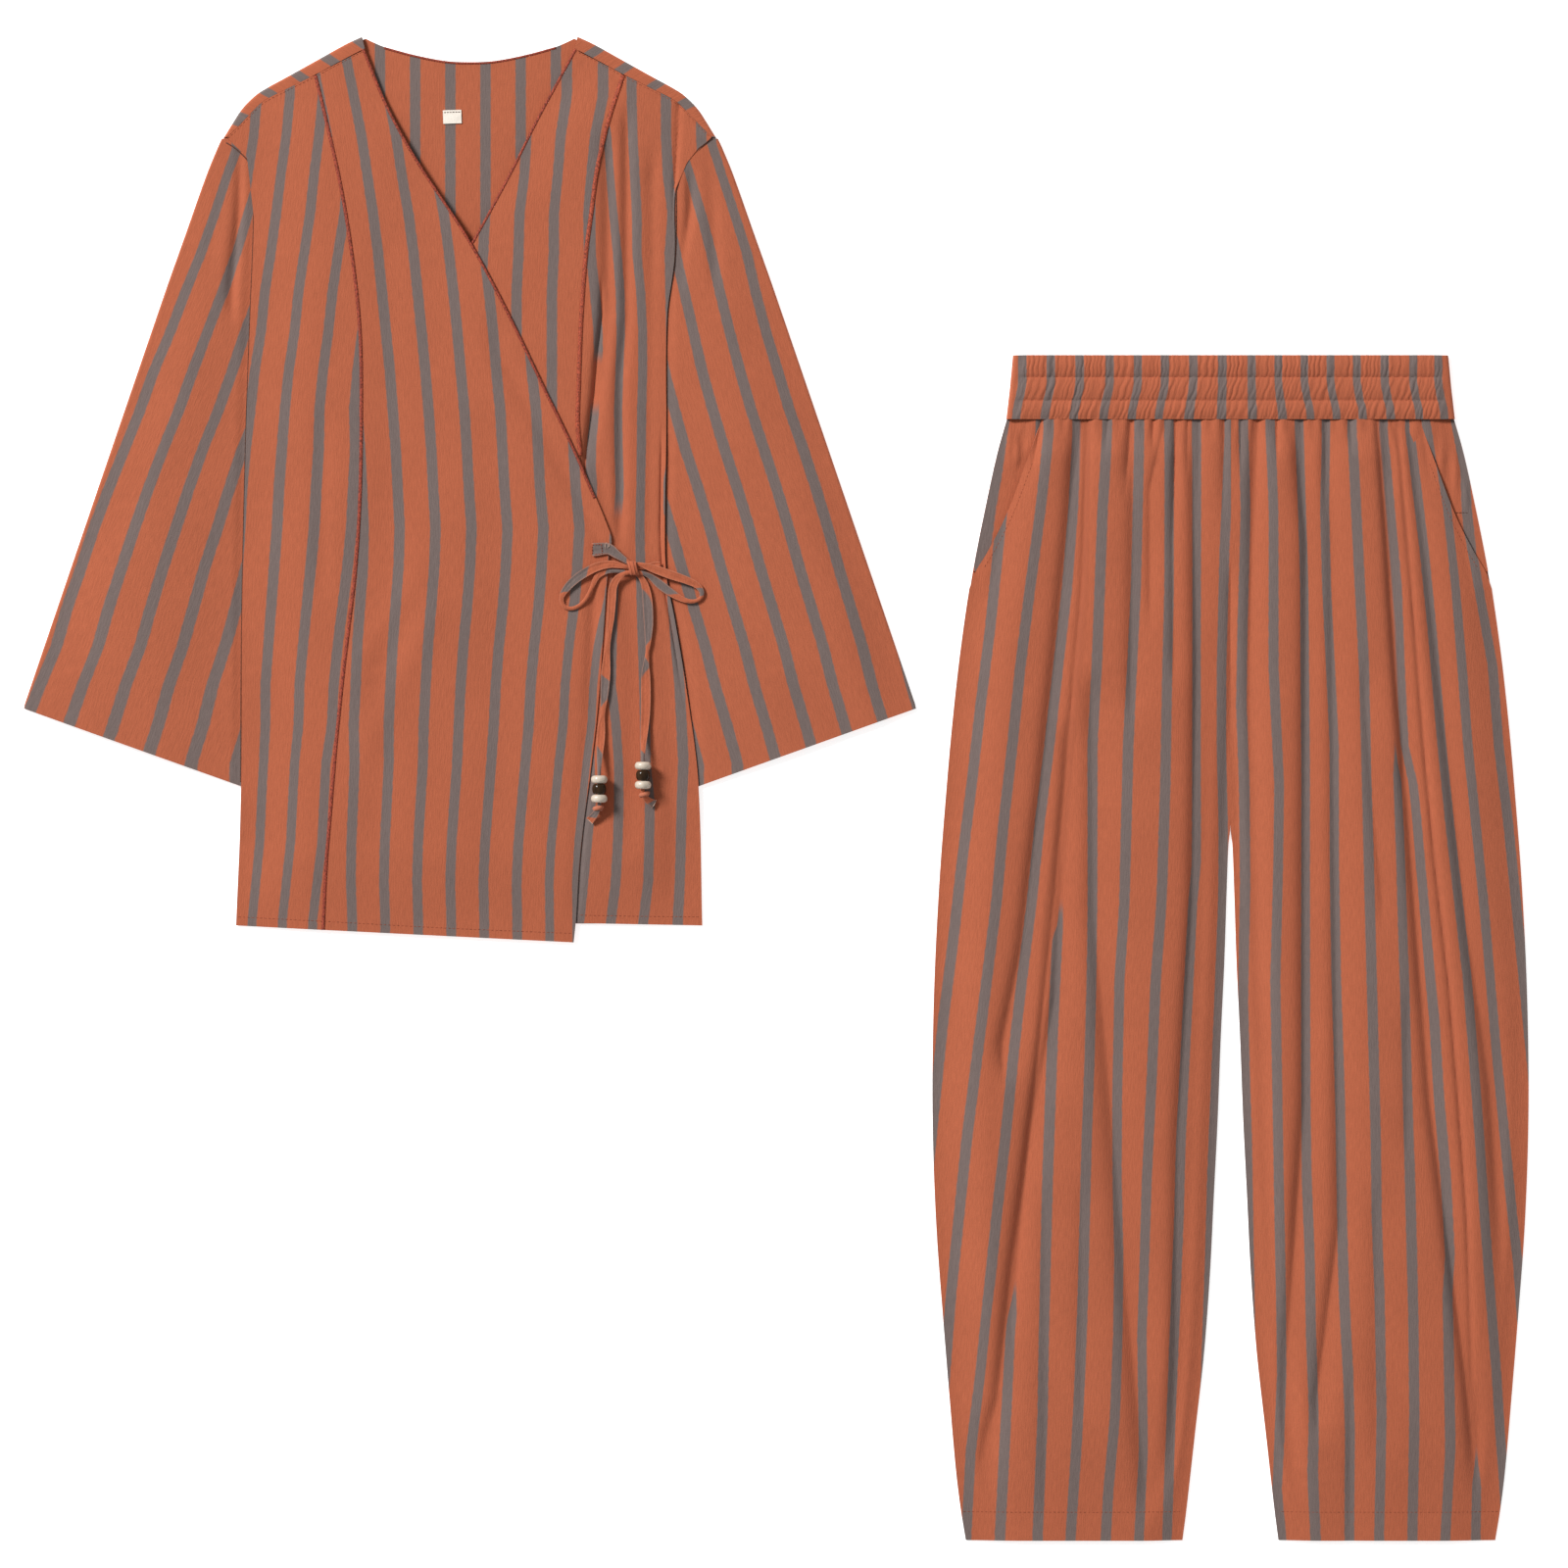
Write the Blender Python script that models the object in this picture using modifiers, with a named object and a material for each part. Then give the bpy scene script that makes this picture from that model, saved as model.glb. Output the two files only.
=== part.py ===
"""A striped wrap jacket and barrel trousers, laid flat side by side with the front up.

Lengths in the tables are in millimetres. In each garment's own frame x runs to the viewer's right from
the centre line, and "down" runs from the top edge towards the hem. Heights are above the surface.
"""

import math

import bmesh
import bpy
import numpy as np
from mathutils import Vector

MM = 0.001

# Where each garment lies in the set: its centre line, and the height of its top edge on the surface.
JACKET_AT = (-249.9, 613.4)
TROUSERS_AT = (370.65, 353.3)

WALL = 1.0
SEAM_GAP = 0.3
LAYER = 1.4
FLOOR_LAYER = WALL / 2
SLEEVE_LOWER = FLOOR_LAYER + LAYER
SLEEVE_UPPER = SLEEVE_LOWER + LAYER
FRONT_LAYER = SLEEVE_UPPER + LAYER

# Jacket outlines: (x, down).
SHOULDER_TIP = (201.0, 83.0)
SHOULDER = ((88, 0), (101, 6), (124, 18.8), (147, 31.6), (171, 44.4), (185, 57.2), (195, 70), SHOULDER_TIP)
SHOULDER_SEAM = ((85.5, 10), (104, 19.6), (126, 31.5), (147, 42), (168, 53), (181, 66), (192, 82))
NECK_BACK = ((-88, 0), (-70, 8), (-46, 14.5), (-20, 19.5), (0, 20.5), (20, 19.5), (46, 14.5), (70, 8), (88, 0))
ARMHOLE_RIGHT = ((-202.5, 83.6), (-191, 90.4), (-182, 98.8), (-178, 105), (-166.5, 118))
ARMHOLE_LEFT = ((202.5, 83.6), (182.6, 93), (175.4, 105), (167.5, 122.8), (155.5, 134))
SIDE_RIGHT = (
    (-178, 105), (-176, 147), (-179, 230), (-182.4, 328), (-185.6, 475), (-186.4, 612), (-190.8, 725),
)
SIDE_LEFT = (
    (175.4, 105), (167.4, 123), (167, 181), (160.8, 230), (160, 328), (157.2, 426),
    (167.2, 475), (177, 534), (186.4, 608), (189.6, 725),
)
PRINCESS_RIGHT = (
    (-125.6, 32.1), (-116.8, 68.4), (-104.8, 122), (-95.2, 181), (-89.1, 240), (-88, 304), (-89.1, 377),
    (-92.8, 436), (-99.2, 490), (-107.2, 563), (-113.1, 632), (-117, 680), (-119.5, 728.6),
)
PRINCESS_LEFT = (
    (125.2, 31.9), (112.8, 71), (104.8, 104), (98.7, 149), (95.2, 176), (91.2, 230), (89, 289), (87, 333),
    (84, 400), (82, 500), (79, 600), (76, 722.8),
)
WRAP_EDGE = (
    (-85.5, 10.8), (-65.6, 58.8), (-41.1, 102.8), (0.5, 166.4), (32, 225), (61.6, 284), (88.8, 333), (105.6, 372),
    (116.8, 411.6), (113.6, 424), (105.6, 470), (98.4, 573), (91.2, 641), (87.7, 722), (84.8, 738.8),
)
UNDER_EDGE = (
    (85.5, 10.8), (56.8, 63.6), (32.3, 112.4), (3, 166.4), (-32, 225), (-61.6, 284), (-80, 340), (-86, 420),
    (-84, 520), (-82, 620), (-80, 721),
)
HEM_CORNER_RIGHT = (-190.8, 725)
HEM_CORNER_WRAP = WRAP_EDGE[-1]
HEM_CORNER_LEFT = SIDE_LEFT[-1]
BACK_HEM = 723.5
BACK_INSET = 0.6

# Sleeves: outer fold and cuff corners, mirrored; the inner edge is tucked this far in under the body.
SLEEVE_FOLD = ((202.5, 83.6), (206, 91), (215, 113), (232, 161), (249, 209), (363.5, 545), (364, 548))
SLEEVE_TUCK = 12.0
CUFF_INNER = 614.0

# How high the cloth stands over the layer under it.
JACKET_RISE = 2.8
SLEEVE_RISE = 4.4
LEG_RISE = 8.6
WAIST_LAYER = 6.0

# Trousers: (down, half width) of the outer side, and (down, distance from the centre line) of the inside.
WAIST_SEAM = 52.0
CROTCH = 386.0
LEG_OUTER = (
    (0, 177.6), (26, 180), (52, 183), (78, 190.4), (110, 197.6), (174, 210.4), (238, 220), (302, 227.2),
    (366, 232.8), (430, 237.6), (510, 241.6), (590, 243.2), (654, 242.4), (718, 239.6), (782, 234.8),
    (846, 229.6), (910, 224), (942, 220), (966.4, 216),
)
LEG_INNER = (
    (52, 0.2), (386, 0.2), (430, 2.4), (494, 4.8), (558, 8), (622, 10.4), (686, 13.6), (750, 16.8), (814, 21.6),
    (878, 28.8), (942, 36), (966.4, 39.2),
)
TROUSER_HEM = 966.4
POCKET_MOUTH = ((154, 52), (167, 88), (182, 128), (197, 158), (208, 176))
POCKET_END = 176.0
FACING_TUCK = 11.0
BAND_CHANNELS = (0.0, 16.8, 35.2, WAIST_SEAM)

# Long soft folds that hang from the gathers: their line (x, down), depth and half width.
FOLDS_RIGHT_LEG = (
    (((-125.6, 54), (-130.4, 116), (-142.4, 238), (-156, 362), (-171, 486), (-186, 560)), 3.6, 9),
    (((-133.6, 330), (-144, 527), (-160.8, 620), (-178.4, 743), (-190.4, 852), (-212, 930)), 3.6, 9),
    (((-113.6, 290), (-112, 453), (-100.8, 577), (-85.6, 759), (-69.6, 920)), 3.4, 13),
    (((-80, 54), (-80.5, 160), (-82, 270)), 2.0, 9),
    (((-31.2, 54), (-28, 251), (-31.2, 446), (-43.2, 643), (-46.4, 900)), 3.6, 9),
)
FOLDS_LEFT_LEG = (
    (((19, 54), (15, 270), (16, 520), (20, 759)), 2.6, 8),
    (((52.8, 54), (61.6, 150), (60, 436), (60, 610), (46.4, 810), (38, 940)), 4.0, 9),
    (((80, 54), (83.2, 318), (88, 710), (70, 850)), 2.8, 9),
    (((124, 54), (132, 200), (148.8, 436), (162.4, 610), (186.4, 793), (204, 940)), 4.0, 8),
    (((147.2, 60), (171.2, 278), (192.8, 470), (211.2, 594), (226, 776), (225, 850)), 4.0, 10),
)

# Ties: x, down, lift over the cloth below and width of the strap along its route.
TIE_THICK = 1.2
TIE_CLEAR = 0.3
TIE_STEP = 1.8
BEAD_LIFT = 6.1
BEAD_BORE = 1.7
CREAM_BEAD = (6.7, 3.3)
DARK_BEAD = (5.75, 4.15)
BEAD_PITCH = 7.8
BEADS_RIGHT = (106.0, 613.7)
BEADS_LEFT = (141.6, 602.6)
KNOT_AT = (133.4, 434.0)
KNOT_SIZE = (4.7, 5.5, 1.9)
TIE_RIGHT = (
    (100, 418.8, 0, 11), (106.4, 418.4, 0, 11), (112.8, 418, 0, 9), (119.2, 422, 0, 7), (125.6, 426.4, 0, 4.5),
    (130.4, 429.6, 0.5, 2.8), (134.4, 430.6, 1.3, 2.6), (139.2, 430.9, 1.8, 3), (150.4, 434.4, 1.8, 6.5),
    (164, 439.2, 1.8, 7), (176.8, 443.6, 1.2, 6), (185.6, 448, 0.8, 5), (189.4, 453.2, 0.4, 5),
    (188, 458.4, 0, 5), (182.4, 460.4, 0, 5.5), (172.4, 458.4, 0, 6.5), (162, 452.4, 0, 7),
    (150.4, 442.8, 0, 5), (144, 438.8, 0.9, 3), (137.6, 437.2, 1.8, 2.6), (132, 437.2, 1.8, 2.6),
    (126.4, 438.4, 1.8, 3), (120.8, 442, 0.9, 5), (116.8, 449.2, 0, 6), (115.2, 463.6, 0, 6.5),
    (112.8, 489.2, 0, 7), (108.8, 524, 0, 4), (108, 550, 0, 6.5), (107, 574, 0.6, 6.5), (106.2, 590, 4.2, 4),
    (106, 600, 6.1, 2.4), (106, 613.7, 6.1, 2.4), (106, 627, 6.1, 2.4), (103, 633.5, 3.2, 5), (98, 639.5, 0, 6.7),
)
TIE_LEFT = (
    (158.4, 430.8, 0, 7), (152, 431.2, 0, 6.5), (144, 432.8, 0, 3.5), (137.6, 433.9, 0.3, 2.4),
    (132.8, 433.6, 1.2, 2.6), (128, 432.8, 1.8, 2.8), (121.6, 431.4, 1.8, 4.5), (113.6, 430.8, 1.8, 6),
    (103.2, 433.2, 1.8, 7), (90, 440.4, 1.4, 7), (80.5, 448.9, 0.9, 6), (75.2, 457.6, 0.4, 5),
    (76.8, 463.6, 0, 5), (83.2, 466, 0, 5.5), (90, 462.8, 0, 6.5), (96.8, 454, 0, 7), (101.6, 444.4, 0, 6.5),
    (107.2, 438, 0, 5), (115.2, 436, 0, 3.2), (123.2, 436.4, 0, 2.6), (132, 437.2, 0, 2.6), (137.6, 439.2, 0, 3),
    (142.4, 445.2, 0, 5), (145.6, 454, 0, 6), (147.6, 468.4, 0, 6.5), (146.9, 489.2, 0, 7), (142.4, 515.3, 0, 7),
    (141.6, 529.2, 0, 4), (142.4, 545.2, 0, 6.5), (142.2, 563, 0.6, 6.5), (141.8, 579, 4.2, 4),
    (141.6, 589, 6.1, 2.4), (141.6, 602.6, 6.1, 2.4), (141.6, 616, 6.1, 2.4), (144.5, 622, 3.2, 5),
    (150.5, 626, 0, 6.7),
)

LABEL_CENTRE = (-14.4, 65.2)
LABEL_SIZE = (15.0, 11.0, 0.6)

TERRACOTTA = (0.42, 0.13, 0.06, 1)
CREAM = (0.75, 0.66, 0.56, 1)
DARK_BROWN = (0.03, 0.01, 0.005, 1)
LABEL_CREAM = (0.9, 0.84, 0.76, 1)


def ease(value, start, end):
    """0 before start, 1 after end, and a smooth rise between them."""
    share = min(max((value - start) / (end - start), 0.0), 1.0)
    return share * share * (3 - 2 * share)


def walk(points, share):
    """The point at this share of a polyline's length."""
    points = np.array(points, float)
    lengths = np.concatenate([[0], np.cumsum(np.linalg.norm(np.diff(points, axis=0), axis=1))])
    at = share * lengths[-1]
    return np.array([np.interp(at, lengths, points[:, axis]) for axis in range(points.shape[1])])


def across(points, down):
    """x on an edge at this distance down."""
    table = sorted((p[1], p[0]) for p in points)
    return float(np.interp(down, [row[0] for row in table], [row[1] for row in table]))


def read(table, key):
    return float(np.interp(key, [row[0] for row in table], [row[1] for row in table]))


def mirrored(points):
    return tuple((-x, down) for x, down in points)


def shifted(points, dx=0.0, ddown=0.0):
    return tuple((x + dx, down + ddown) for x, down in points)


def inset(points, inwards, gap=1.5 * SEAM_GAP):
    """An armhole edge moved away from the sleeve, inwards and up."""
    return shifted(points, dx=inwards * gap, ddown=-gap)


def part_of(points, start, end):
    """The stretch of an edge between two distances down, with its ends cut to them."""
    inside = [p for p in points if start < p[1] < end]
    return ((across(points, start), start), *inside, (across(points, end), end))


def patch(top, bottom, left, right, u, v):
    """A point inside four edges: u runs from left to right and v from top to bottom."""
    corner = [[walk(top, 0), walk(top, 1)], [walk(bottom, 0), walk(bottom, 1)]]
    along = (1 - v) * walk(top, u) + v * walk(bottom, u)
    beside = (1 - u) * walk(left, v) + u * walk(right, v)
    upper = (1 - u) * corner[0][0] + u * corner[0][1]
    lower = (1 - u) * corner[1][0] + u * corner[1][1]
    return along + beside - (1 - v) * upper - v * lower


def stops(count, *first):
    """Shares from 0 to 1 in even steps, with any closer ones given for the start."""
    even = [step / count for step in range(count + 1)]
    after = first[-1] if first else 0
    return [0.0, *first, *[share for share in even if share > after + 0.4 / count]]


def make_material(name, colour, roughness):
    material = bpy.data.materials.new(name)
    material.use_nodes = True
    shader = material.node_tree.nodes["Principled BSDF"]
    shader.inputs["Base Color"].default_value = colour
    shader.inputs["Roughness"].default_value = roughness
    return material


def add_object(name, mesh, material, garment_at):
    thing = bpy.data.objects.new(name, mesh)
    bpy.data.collections["coord_set"].objects.link(thing)
    thing.location = (garment_at[0] * MM, garment_at[1] * MM, 0)
    mesh.materials.append(material)
    return thing


def sheet(name, u_stops, v_stops, place, material, garment_at, wall=WALL, ring=False, drop=None):
    """Cloth as an open grid whose points are placed by place(u, v), thickened both ways by Solidify."""
    bm = bmesh.new()
    bmesh.ops.create_grid(bm, x_segments=len(u_stops) - 1, y_segments=len(v_stops) - 1, size=0.5)
    if drop:
        spare = []
        for face in bm.faces:
            centre = face.calc_center_median()
            column = int((centre.x + 0.5) * (len(u_stops) - 1))
            row = int((0.5 - centre.y) * (len(v_stops) - 1))
            if drop(column, row):
                spare.append(face)
        bmesh.ops.delete(bm, geom=spare, context="FACES")
    for vertex in bm.verts:
        column = round((vertex.co.x + 0.5) * (len(u_stops) - 1))
        row = round((0.5 - vertex.co.y) * (len(v_stops) - 1))
        x, down, height = place(u_stops[column], v_stops[row])
        vertex.co = Vector((x * MM, -down * MM, height * MM))
    if ring:
        bmesh.ops.remove_doubles(bm, verts=bm.verts, dist=1e-6)
    mesh = bpy.data.meshes.new(name)
    bm.to_mesh(mesh)
    bm.free()
    mesh.shade_smooth()
    thing = add_object(name, mesh, material, garment_at)
    thickness = thing.modifiers.new("Thickness", "SOLIDIFY")
    thickness.thickness = wall * MM
    thickness.offset = 0
    return thing


def front_height(x, down):
    """Height of the lower front layer: it rises from the side seams and sinks again to the hem and the neck."""
    inside = min(x - across(SIDE_RIGHT, down), across(SIDE_LEFT, down) - x)
    side = FRONT_LAYER - (FRONT_LAYER - SLEEVE_LOWER) * ease(down, 620, 665)
    middle = FRONT_LAYER + JACKET_RISE * ease(down, 14, 90) - (JACKET_RISE + 1.6) * ease(down, 660, 735)
    return side + (middle - side) * ease(inside, 0, 60)


def right_front_height(x, down):
    """The right front wraps over the left one, so it lies one layer higher, but not at its own side seam."""
    return front_height(x, down) + LAYER * ease(x, -185, -125) * ease(down, 30, 110)


def neck_sink(beside, down):
    """The neck edges settle towards the back where nothing lies under them."""
    return 1.8 * (1 - ease(beside, 0, 40)) * ease(down, 12, 60) * (1 - ease(down, 110, 158))


def right_front_place(x, down):
    return x, down, right_front_height(x, down) - neck_sink(across(WRAP_EDGE[:8], down) - x, down)


def left_front_place(x, down):
    return x, down, front_height(x, down) - neck_sink(x - across(UNDER_EDGE[:6], down), down)


def cover_height(x, down):
    """Top of the uppermost cloth, where the ties lie."""
    return right_front_height(x, down) + WALL / 2


def make_back(cloth):
    """Back panel, flat on the surface, that rolls over each shoulder to a seam on the front."""
    roll = (FRONT_LAYER - FLOOR_LAYER) / 2
    shoulder_steps = 7
    neck_steps = 8
    roll_rows = 4
    columns = 2 * shoulder_steps + neck_steps
    down_stops = stops(11, 0.012, 0.024, 0.04)

    def on_shoulder(share):
        """Outline and seam points of the right shoulder at a share from its tip to the neck."""
        outline = walk(mirrored(SHOULDER[::-1]), share)
        seam = walk(shifted(mirrored(SHOULDER_SEAM[::-1]), ddown=-SEAM_GAP / 2), share)
        out = (outline - seam) / np.linalg.norm(outline - seam)
        return outline, seam, out

    def flat_top(column):
        if column > columns / 2:
            x, down = flat_top(columns - column)
            return np.array([-x, down])
        if column <= shoulder_steps:
            outline, _, out = on_shoulder(column / shoulder_steps)
            return outline - out * (roll + WALL / 2)
        return walk(NECK_BACK, (column - shoulder_steps) / neck_steps)

    def rolled(column, row):
        if column > columns / 2:
            x, down, height = rolled(columns - column, row)
            return -x, down, height
        outline, seam, out = on_shoulder(min(column / shoulder_steps, 1))
        if row == roll_rows:
            return seam[0], seam[1], FRONT_LAYER
        turn = math.pi * row / (roll_rows - 1)
        at = outline - out * (roll + WALL / 2) + out * roll * math.sin(turn)
        return at[0], at[1], FLOOR_LAYER + roll * (1 - math.cos(turn))

    left = (flat_top(0), *inset(ARMHOLE_RIGHT[1:4], 1, 1.2), *shifted(SIDE_RIGHT[1:-1], dx=BACK_INSET))
    left = (*left, (SIDE_RIGHT[-1][0] + BACK_INSET, BACK_HEM))
    right = (flat_top(columns), *inset(ARMHOLE_LEFT[1:4], -1, 1.9), *shifted(SIDE_LEFT[2:-1], dx=-BACK_INSET))
    right = (*right, (SIDE_LEFT[-1][0] - BACK_INSET, BACK_HEM))

    def place(u, v):
        column = round(u * columns)
        row = round(v * (len(down_stops) - 1 + roll_rows))
        if row < roll_rows:
            return rolled(column, roll_rows - row)
        share = down_stops[row - roll_rows]
        beside = (1 - u) * walk(left, share) + u * walk(right, share)
        upper = (1 - u) * walk(left, 0) + u * walk(right, 0)
        x, down = (1 - share) * (flat_top(column) - upper) + beside
        return x, down, FLOOR_LAYER

    def spare(column, row):
        return row < roll_rows and shoulder_steps <= column < columns - shoulder_steps

    count = len(down_stops) - 1 + roll_rows
    u_stops = [step / columns for step in range(columns + 1)]
    v_stops = [step / count for step in range(count + 1)]
    sheet("jacket_back", u_stops, v_stops, place, cloth, JACKET_AT, drop=spare)


def make_fronts(cloth):
    """Each front is a centre and a side panel that meet at the princess seam."""
    half = SEAM_GAP / 2 + 0.05
    seam_right = shifted(mirrored(SHOULDER_SEAM[::-1]), ddown=2.5 * SEAM_GAP)
    seam_left = shifted(SHOULDER_SEAM, ddown=2.5 * SEAM_GAP)
    princess = {-1: PRINCESS_RIGHT, 1: PRINCESS_LEFT}
    hem_right = (HEM_CORNER_RIGHT, PRINCESS_RIGHT[-1], HEM_CORNER_WRAP)
    hem_left = (UNDER_EDGE[-1], PRINCESS_LEFT[-1], HEM_CORNER_LEFT)

    def panel(name, top, bottom, left, right, place, columns, rows):
        def at(u, v):
            return place(*patch(top, bottom, left, right, u, v))

        sheet(name, stops(columns), rows, at, cloth, JACKET_AT)

    split_right = [p for p in seam_right if p[0] < -126.1]
    neck_right = [p for p in seam_right if p[0] > -125]
    armhole_right = (seam_right[0], (-191.8, 89.2), *inset(ARMHOLE_RIGHT[1:3], 1))
    panel(
        "jacket_side_right",
        (*split_right, (PRINCESS_RIGHT[0][0] - half, PRINCESS_RIGHT[0][1])),
        (hem_right[0], (hem_right[1][0] - half, hem_right[1][1])),
        (*armhole_right, *SIDE_RIGHT[1:]),
        shifted(princess[-1], dx=-half),
        right_front_place,
        7,
        stops(16, 0.012, 0.024, 0.045),
    )
    panel(
        "jacket_front_right",
        ((PRINCESS_RIGHT[0][0] + half, PRINCESS_RIGHT[0][1]), *neck_right),
        ((hem_right[1][0] + half, hem_right[1][1]), hem_right[2]),
        shifted(princess[-1], dx=half),
        WRAP_EDGE,
        right_front_place,
        12,
        stops(22),
    )
    split_left = [p for p in seam_left if p[0] > 126.1]
    neck_left = [p for p in seam_left if p[0] < 125]
    armhole_left = (seam_left[-1], (190.5, 88.2), *inset(ARMHOLE_LEFT[1:3], -1))
    panel(
        "jacket_side_left",
        ((PRINCESS_LEFT[0][0] + half, PRINCESS_LEFT[0][1]), *split_left),
        ((hem_left[1][0] + half, hem_left[1][1]), hem_left[2]),
        shifted(princess[1], dx=half),
        (*armhole_left, *SIDE_LEFT[1:]),
        left_front_place,
        9,
        stops(16, 0.012, 0.03),
    )
    panel(
        "jacket_front_left",
        (*neck_left, (PRINCESS_LEFT[0][0] - half, PRINCESS_LEFT[0][1])),
        (hem_left[0], (hem_left[1][0] - half, hem_left[1][1])),
        UNDER_EDGE,
        shifted(princess[1], dx=-half),
        left_front_place,
        8,
        stops(16),
    )


def make_sleeve(name, side, armhole, body_side, cloth):
    """One folded sheet: under layer, outer fold and upper layer, tucked in between the body's layers."""
    fold = tuple((side * x, down) for x, down in SLEEVE_FOLD)
    roll = (SLEEVE_UPPER - FLOOR_LAYER) / 2
    inner_top = armhole[-1]
    tucked = [(x - side * SLEEVE_TUCK, down) for x, down in body_side if inner_top[1] + 6 < down < CUFF_INNER - 4]
    inner_end = (across(body_side, CUFF_INNER) - side * SLEEVE_TUCK, CUFF_INNER + 1.8)
    inner = (inner_top, *tucked, inner_end)
    cuff = (fold[-1], inner_end)
    flat_columns = 7
    fold_columns = 3
    columns = 2 * flat_columns + fold_columns

    def flat(share, v):
        """Plan position: share runs from the outer fold to the inner edge."""
        return patch(armhole, cuff, fold, inner, share, v)

    def place(u, v):
        step = round(u * columns)
        edge = flat(0, v)
        out = edge - flat(0.05, v)
        out = out / np.linalg.norm(out)
        if flat_columns < step < flat_columns + fold_columns:
            turn = math.pi * (step - flat_columns) / fold_columns
            at = edge - out * (roll + WALL / 2) + out * roll * math.sin(turn)
            return at[0], at[1], FLOOR_LAYER + roll * (1 - math.cos(turn))
        lower = step <= flat_columns
        index = flat_columns - step if lower else step - flat_columns - fold_columns
        width = abs(edge[0] - flat(1, v)[0])
        bands = (1 - (SLEEVE_TUCK + 8) / width, 1 - (SLEEVE_TUCK + 1.2) / width, 1)
        share = bands[index - flat_columns - 1] if index > flat_columns - 3 else bands[0] * index / (flat_columns - 2)
        at = flat(share, v) - out * (roll + WALL / 2) * (1 - ease(share, 0, 0.5))
        inwards = abs(at[0] - flat(1, v)[0])
        outwards = float(np.linalg.norm(at - edge))
        over_body = 1 - ease(inwards, SLEEVE_TUCK + 1.5, SLEEVE_TUCK + 7.5)
        if lower:
            return at[0], at[1], FLOOR_LAYER + LAYER * over_body
        rise = SLEEVE_RISE * ease(inwards, SLEEVE_TUCK + 4, 90) * ease(outwards, 0, 45)
        return at[0], at[1], SLEEVE_UPPER + rise * (1 - 0.3 * ease(v, 0.85, 1))

    u_stops = [step / columns for step in range(columns + 1)]
    sheet(name, u_stops, stops(12, 0.02), place, cloth, JACKET_AT)


def smooth_route(points, spacing):
    """Points along a smooth curve through the route's own points, about this far apart."""
    points = np.array(points, float)
    padded = np.vstack([2 * points[0] - points[1], points, 2 * points[-1] - points[-2]])
    found = []
    for i in range(1, len(padded) - 2):
        before, start, end, after = padded[i - 1 : i + 3]
        steps = max(1, round(np.linalg.norm((end - start)[:2]) / spacing))
        for step in range(steps):
            t = step / steps
            bend = 2 * before - 5 * start + 4 * end - after
            twist = 3 * start - before - 3 * end + after
            found.append(start + 0.5 * (t * (end - before) + t**2 * bend + t**3 * twist))
    found.append(points[-1])
    return np.array(found)


def make_tie(name, route, bead_at, cloth):
    """A flat strap along its route: anchor, half of the bow, and the tail that carries three beads."""
    stations = smooth_route(route, 5.0)
    last = len(stations) - 1
    bead_cloth = cover_height(*bead_at)

    def place(u, v):
        station = round(v * last)
        x, down, lift, width = stations[station]
        ahead = stations[min(station + 1, last)][:2] - stations[max(station - 1, 0)][:2]
        beside = np.array([-ahead[1], ahead[0]]) / np.linalg.norm(ahead)
        cloth_height = cover_height(x, down)
        cloth_height += (bead_cloth - cloth_height) * ease(lift, TIE_STEP, BEAD_LIFT)
        at = np.array([x, down]) + beside * width * (u - 0.5)
        return at[0], at[1], cloth_height + TIE_CLEAR + TIE_THICK / 2 + lift

    v_stops = [step / last for step in range(last + 1)]
    sheet(name, [0, 1], v_stops, place, cloth, JACKET_AT, wall=TIE_THICK)


def make_bead(name, x, down, height, size, material):
    """A turned bead with a bore along the tie, laid with its axis along the tie's end."""
    radius, half_length = size
    profile = []
    for step in range(6):
        turn = math.pi * (step / 5 - 0.5)
        profile.append((BEAD_BORE + 0.6 + (radius - BEAD_BORE - 0.6) * math.cos(turn), -half_length * math.sin(turn)))
    profile += [(BEAD_BORE, -half_length * 0.9), (BEAD_BORE, half_length * 0.9)]
    mesh = bpy.data.meshes.new(name)
    points = [(r * MM, 0, z * MM) for r, z in profile]
    edges = [(i, (i + 1) % len(points)) for i in range(len(points))]
    mesh.from_pydata(points, edges, [])
    thing = add_object(name, mesh, material, JACKET_AT)
    thing.location = ((JACKET_AT[0] + x) * MM, (JACKET_AT[1] - down) * MM, height * MM)
    thing.rotation_euler = (math.pi / 2, 0, 0)
    turned = thing.modifiers.new("Turned", "SCREW")
    turned.steps = 12
    turned.render_steps = 12
    turned.use_merge_vertices = True
    turned.merge_threshold = 0.0001 * 0.1
    turned.use_smooth_shade = True
    return thing


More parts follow.
